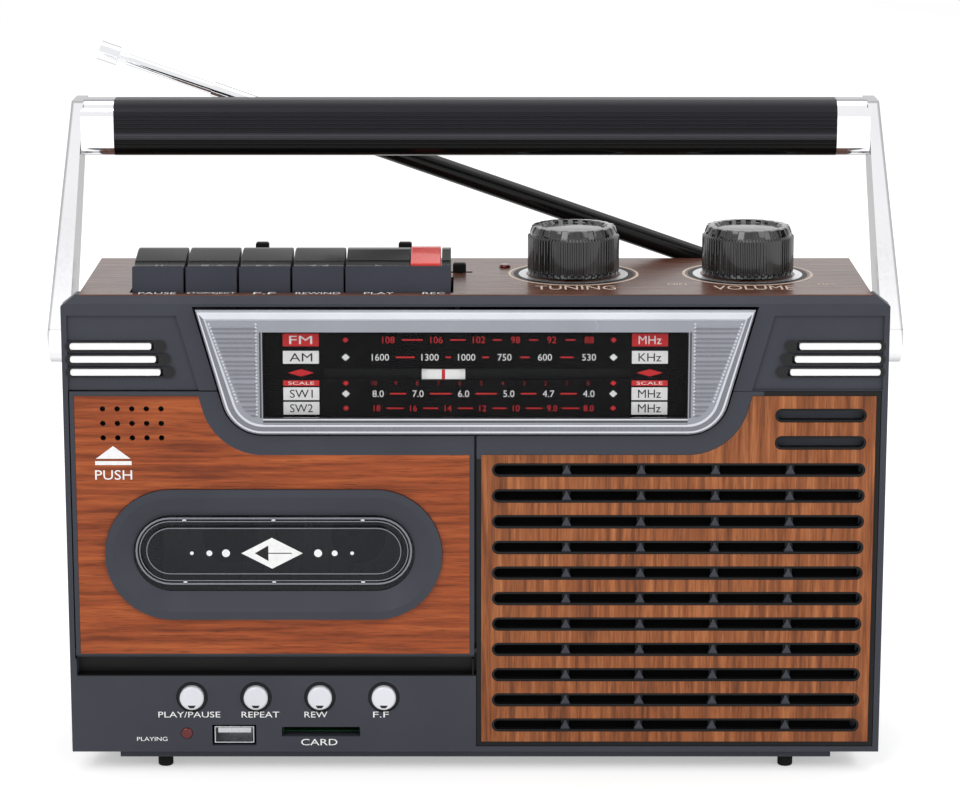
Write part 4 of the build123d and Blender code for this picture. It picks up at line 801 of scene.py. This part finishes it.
def panel_marks():
    """Words under the small buttons, their dark rings, and the notch at each button's lower edge."""
    words, rings = front_print(front_y), front_print(front_y)
    for word, x, width in (("PLAY/PAUSE", -94.2, 20.4), ("REPEAT", -70.8, 12.4),
                           ("REW", -52.5, 7.6), ("F.F", -31.1, 5.2)):
        words.text(word, x, 19.8, 2.0, width)
    words.text("PLAYING", -106.6, 11.4, 1.4, 10.0)
    words.text("CARD", -51.5, 10.3, 2.2, 12.0)
    words.make("panel_words", white_ink, "cabinet", "cabinet_plastic")
    for x in BUTTONS_X:
        rings.ring(x, BUTTONS_Z, 4.45, 0.6)
    rings.make("button_rings", black_ink, "cabinet", "cabinet_plastic")
    for i, x in enumerate(BUTTONS_X):
        name = f"push_button_{i + 1}"
        notch = front_print(box_mm(name)[0].y)
        notch.polygon([(x - 1.4, 23.5), (x - 0.7, 22.6), (x + 0.7, 22.6), (x + 1.4, 23.5)])
        notch.make(name + "_notch", black_ink, name, "white_plastic")


# Key marks
def key_marks():
    """Small signs on the leaning tops of the keys."""
    def arrow(plate, u, way):
        plate.polygon([(u + way * 1.5, 0), (u - way * 1.1, way * 1.3), (u - way * 1.1, -way * 1.3)])

    over_keys_y, over_keys_z = -24.5, 200.0
    for name, x in (("key_pause", -102.3), ("key_stop_eject", -85.1), ("key_fast_forward", -67.9),
                    ("key_rewind", -50.7), ("key_play", -31.4)):
        above = Vector((x, over_keys_y, over_keys_z)) * MM
        _, place, normal, _ = nodes[name].ray_cast(above, Vector((0, 0, -1)))
        plate = Print(place / MM, (1, 0, 0), normal.cross(Vector((1, 0, 0))))
        if name == "key_pause":
            plate.bar(-1.3, -0.5, -1.3, 1.3)
            plate.bar(0.5, 1.3, -1.3, 1.3)
        elif name == "key_stop_eject":
            plate.bar(-3.6, -1.2, -1.2, 1.2)
            plate.polygon([(1.0, -0.4), (4.0, -0.4), (2.5, 1.4)])
            plate.bar(1.0, 4.0, -1.3, -0.8)
        elif name == "key_play":
            arrow(plate, 0, 1)
        else:
            way = 1 if name == "key_fast_forward" else -1
            arrow(plate, -2.0, way)
            arrow(plate, 2.0, way)
        plate.make(name + "_sign", grey_ink, name, "key_plastic")


# Deck marks
def deck_marks():
    """Words in front of the keys and knobs, and the rings that the knobs stand in."""
    words, white, beige, black, silver = (deck_print(deck_z) for _ in range(5))
    for x, word in ((-102.3, "PAUSE"), (-85.0, "STOP/EJECT"), (-67.8, "F.F"), (-50.6, "REWIND"),
                    (-31.0, "PLAY"), (-13.4, "REC")):
        white.text(word, x, -33.3, 3.4, min(2.4 * len(word), 15.6))
    for name, word in (("tuning_knob", "TUNING"), ("volume_knob", "VOLUME")):
        place = knob_places[name]
        words.text(word, place.x, -23.4, 6.8, 26.0)
        beige.ring(place.x, place.y, 21.2, 0.9)
        black.ring(place.x, place.y, 19.0, 1.7)
        silver.ring(place.x, place.y, 16.9, 2.5)
    for side, word in ((-1, "MIN"), (1, "MAX")):
        words.text(word, knob_places["volume_knob"].x + side * 24.5, -17.5, 3.0, 6.0)
    words.make("deck_words", beige_ink, "cabinet", "wood_veneer")
    white.make("key_words", white_ink, "cabinet", "wood_veneer")
    beige.make("knob_rings_beige", beige_ink, "cabinet", "wood_veneer")
    black.make("knob_rings_black", black_ink, "cabinet", "wood_veneer")
    silver.make("knob_rings_silver", silver_print, "cabinet", "wood_veneer")


# Dial
LABEL_X, LABEL_HALF_WIDTH, LABEL_HALF_HEIGHT = 56.2, 5.8, 2.1
DIAL_ROWS_Z = {"fm": 145.2, "am": 139.5, "scale": 131.0, "sw1": 127.5, "sw2": 122.7}
ARROW_Z = 134.4
# Row, letters' height, gap from a number's middle to a dash, and the numbers with their places
STATIONS = (
    ("fm", 2.2, 4.4, (("108", -28), ("106", -12.5), ("102", 1.2), ("98", 12.9), ("92", 24.6), ("88", 36.6))),
    ("am", 2.2, 5.0, (("1600", -30.6), ("1300", -14.6), ("1000", -2.8), ("750", 9.4), ("600", 22.4),
                      ("530", 36.6))),
    ("sw1", 2.2, 3.9, (("8.0", -31.4), ("7.0", -18.5), ("6.0", -3.8), ("5.0", 10.8), ("4.7", 23.6),
                       ("4.0", 36.6))),
    ("sw2", 2.0, 3.2, (("18", -31.8), ("16", -20.0), ("14", -8.8), ("12", 2.4), ("10", 13.2), ("9.0", 24.8),
                       ("8.0", 36.6))),
)


def dial_lettering():
    """Label boxes, station numbers and marks printed on the scale."""
    white, red, faint = (front_print(scale_low.y) for _ in range(3))
    black, top_white = (front_print(scale_low.y - INK) for _ in range(2))

    def label(plate, ink, word, x, z, half_height, height, width):
        plate.bar(x - LABEL_HALF_WIDTH, x + LABEL_HALF_WIDTH, z - half_height, z + half_height)
        ink.text(word, x, z, height, width)

    for x, names in ((-LABEL_X, ("FM", "AM", "SW1", "SW2")), (LABEL_X, ("MHz", "KHz", "MHz", "MHz"))):
        for name, row in zip(names, ("fm", "am", "sw1", "sw2")):
            plate, ink = (red, top_white) if row == "fm" else (white, black)
            label(plate, ink, name, x, DIAL_ROWS_Z[row], LABEL_HALF_HEIGHT, 2.7, 7.4)
        label(red, top_white, "SCALE", x, DIAL_ROWS_Z["scale"], 0.9, 1.0, 8.4)
        red.diamond(x, ARROW_Z, 4.2, 1.2)
    for x in (-41.8, 44.5):
        for row in ("fm", "scale", "sw2"):
            red.diamond(x, DIAL_ROWS_Z[row], 1.0, 0.9)
        for row in ("am", "sw1"):
            white.diamond(x, DIAL_ROWS_Z[row], 1.3, 1.2)

    for row, height, gap, stations in STATIONS:
        plate, z = white if row in ("am", "sw1") else red, DIAL_ROWS_Z[row]
        for number, x in stations:
            plate.text(number, x, z, height)
        for (_, a), (_, b) in zip(stations, stations[1:]):
            middle, half = (a + b) / 2, max((b - a) / 2 - gap, 0.6)
            red.bar(middle - half, middle + half, z - 0.22, z + 0.22)
    for i in range(11):
        faint.text(str(10 - i), -32.6 + i * 6.9, DIAL_ROWS_Z["scale"], 1.5)

    for plate, name, ink in ((white, "white", white_ink), (red, "red", red_ink), (black, "black", black_ink),
                             (top_white, "label_letters", white_ink), (faint, "faint", dark_red_ink)):
        plate.make("dial_print_" + name, ink, "cabinet", "dial_print")


def pointer_line():
    """The red line on the dial pointer."""
    stripe = front_print(pointer_low.y)
    x = (pointer_low.x + pointer_high.x) / 2
    stripe.bar(x - 0.55, x + 0.55, 132.3, 135.5)
    stripe.make("pointer_line", red_ink, "pointer", "dial_print")


# Camera, light and floor
WHITE = (1, 1, 1, 1)
LAMPS = (("key_light", (-0.9, -1.5, 1.5), 1.2, 17), ("fill_light", (1.3, -1.3, 0.9), 1.2, 8),
         ("top_light", (0.2, 0.5, 1.8), 1.4, 10))  # name, place in metres, size in metres, watts
LAMPS_AIM = (0, 0, 0.1)


def seen_directly(tree):
    """1 where the camera sees the place, also mirrored or through a pane, and 0 for its light elsewhere."""
    rays = tree.nodes.new("ShaderNodeLightPath")
    seen = rays.outputs["Is Camera Ray"]
    for kind in ("Is Glossy Ray", "Is Transmission Ray"):
        either = tree.nodes.new("ShaderNodeMath")
        either.operation = "MAXIMUM"
        tree.links.new(seen, either.inputs[0])
        tree.links.new(rays.outputs[kind], either.inputs[1])
        seen = either.outputs[0]
    return seen


def camera(scene):
    """The photograph's view: slightly from above, with a long lens."""
    holder = bpy.data.objects.new("camera", bpy.data.cameras.new("camera"))
    holder.location = (0.0, -1.06875, 0.3523)
    holder.rotation_euler = (math.radians(90 - 12.44), 0, 0)
    holder.data.sensor_width, holder.data.lens, holder.data.shift_x = 36.0, 122.8, 0.0048
    scene.collection.objects.link(holder)
    scene.camera = holder


def surroundings(scene):
    """A white room, dimmer as a light than as a background."""
    world = bpy.data.worlds.new("world")
    scene.world = world
    world.use_nodes = True
    tree = world.node_tree
    background, light = tree.nodes["Background"], tree.nodes.new("ShaderNodeBackground")
    for shader, strength in ((background, 1.0), (light, 0.62)):
        shader.inputs["Color"].default_value, shader.inputs["Strength"].default_value = WHITE, strength
    mix = tree.nodes.new("ShaderNodeMixShader")
    for source, socket in ((seen_directly(tree), mix.inputs["Fac"]), (light.outputs[0], mix.inputs[1]),
                           (background.outputs[0], mix.inputs[2]),
                           (mix.outputs[0], tree.nodes["World Output"].inputs["Surface"])):
        tree.links.new(source, socket)


def lamps(scene):
    for name, place, size, power in LAMPS:
        lamp = bpy.data.lights.new(name, "AREA")
        lamp.size, lamp.energy = size, power
        holder = bpy.data.objects.new(name, lamp)
        holder.location = place
        holder.rotation_euler = (Vector(LAMPS_AIM) - Vector(place)).to_track_quat("-Z", "Y").to_euler()
        scene.collection.objects.link(holder)


def pale_floor(scene):
    """A floor that glows a little where it is seen directly, so that it ends in the white background."""
    bm = bmesh.new()
    bmesh.ops.create_grid(bm, x_segments=1, y_segments=1, size=4.0)
    mesh = bpy.data.meshes.new("floor")
    bm.to_mesh(mesh)
    bm.free()
    floor = bpy.data.objects.new("floor", mesh)
    scene.collection.objects.link(floor)
    s = Surface.new("floor_white", Roughness=0.9, Specular_IOR_Level=0.1)
    s.set(s.shader, Base_Color=s.clouded(s.noise(3), WHITE, 0.8, 0.84))
    glow = s.add("Emission", Color=WHITE, Strength=s.math("MULTIPLY", seen_directly(s.tree), 0.42))
    both = s.add("AddShader")
    for source, socket in ((s.shader.outputs[0], both.inputs[0]), (glow.outputs[0], both.inputs[1]),
                           (both.outputs[0], s.tree.nodes["Material Output"].inputs["Surface"])):
        s.tree.links.new(source, socket)
    mesh.materials.append(s.material)


def studio():
    scene = bpy.context.scene
    scene.view_settings.view_transform = "Standard"
    for part in (camera, surroundings, lamps, pale_floor):
        part(scene)


dial_lens()
knob("tuning_knob", "tuning")
knob("volume_knob", "volume")
for details in (grille_detail, louvre_slots, door_marks, window_marks, panel_marks, key_marks, deck_marks,
                dial_lettering, pointer_line, studio):
    details()
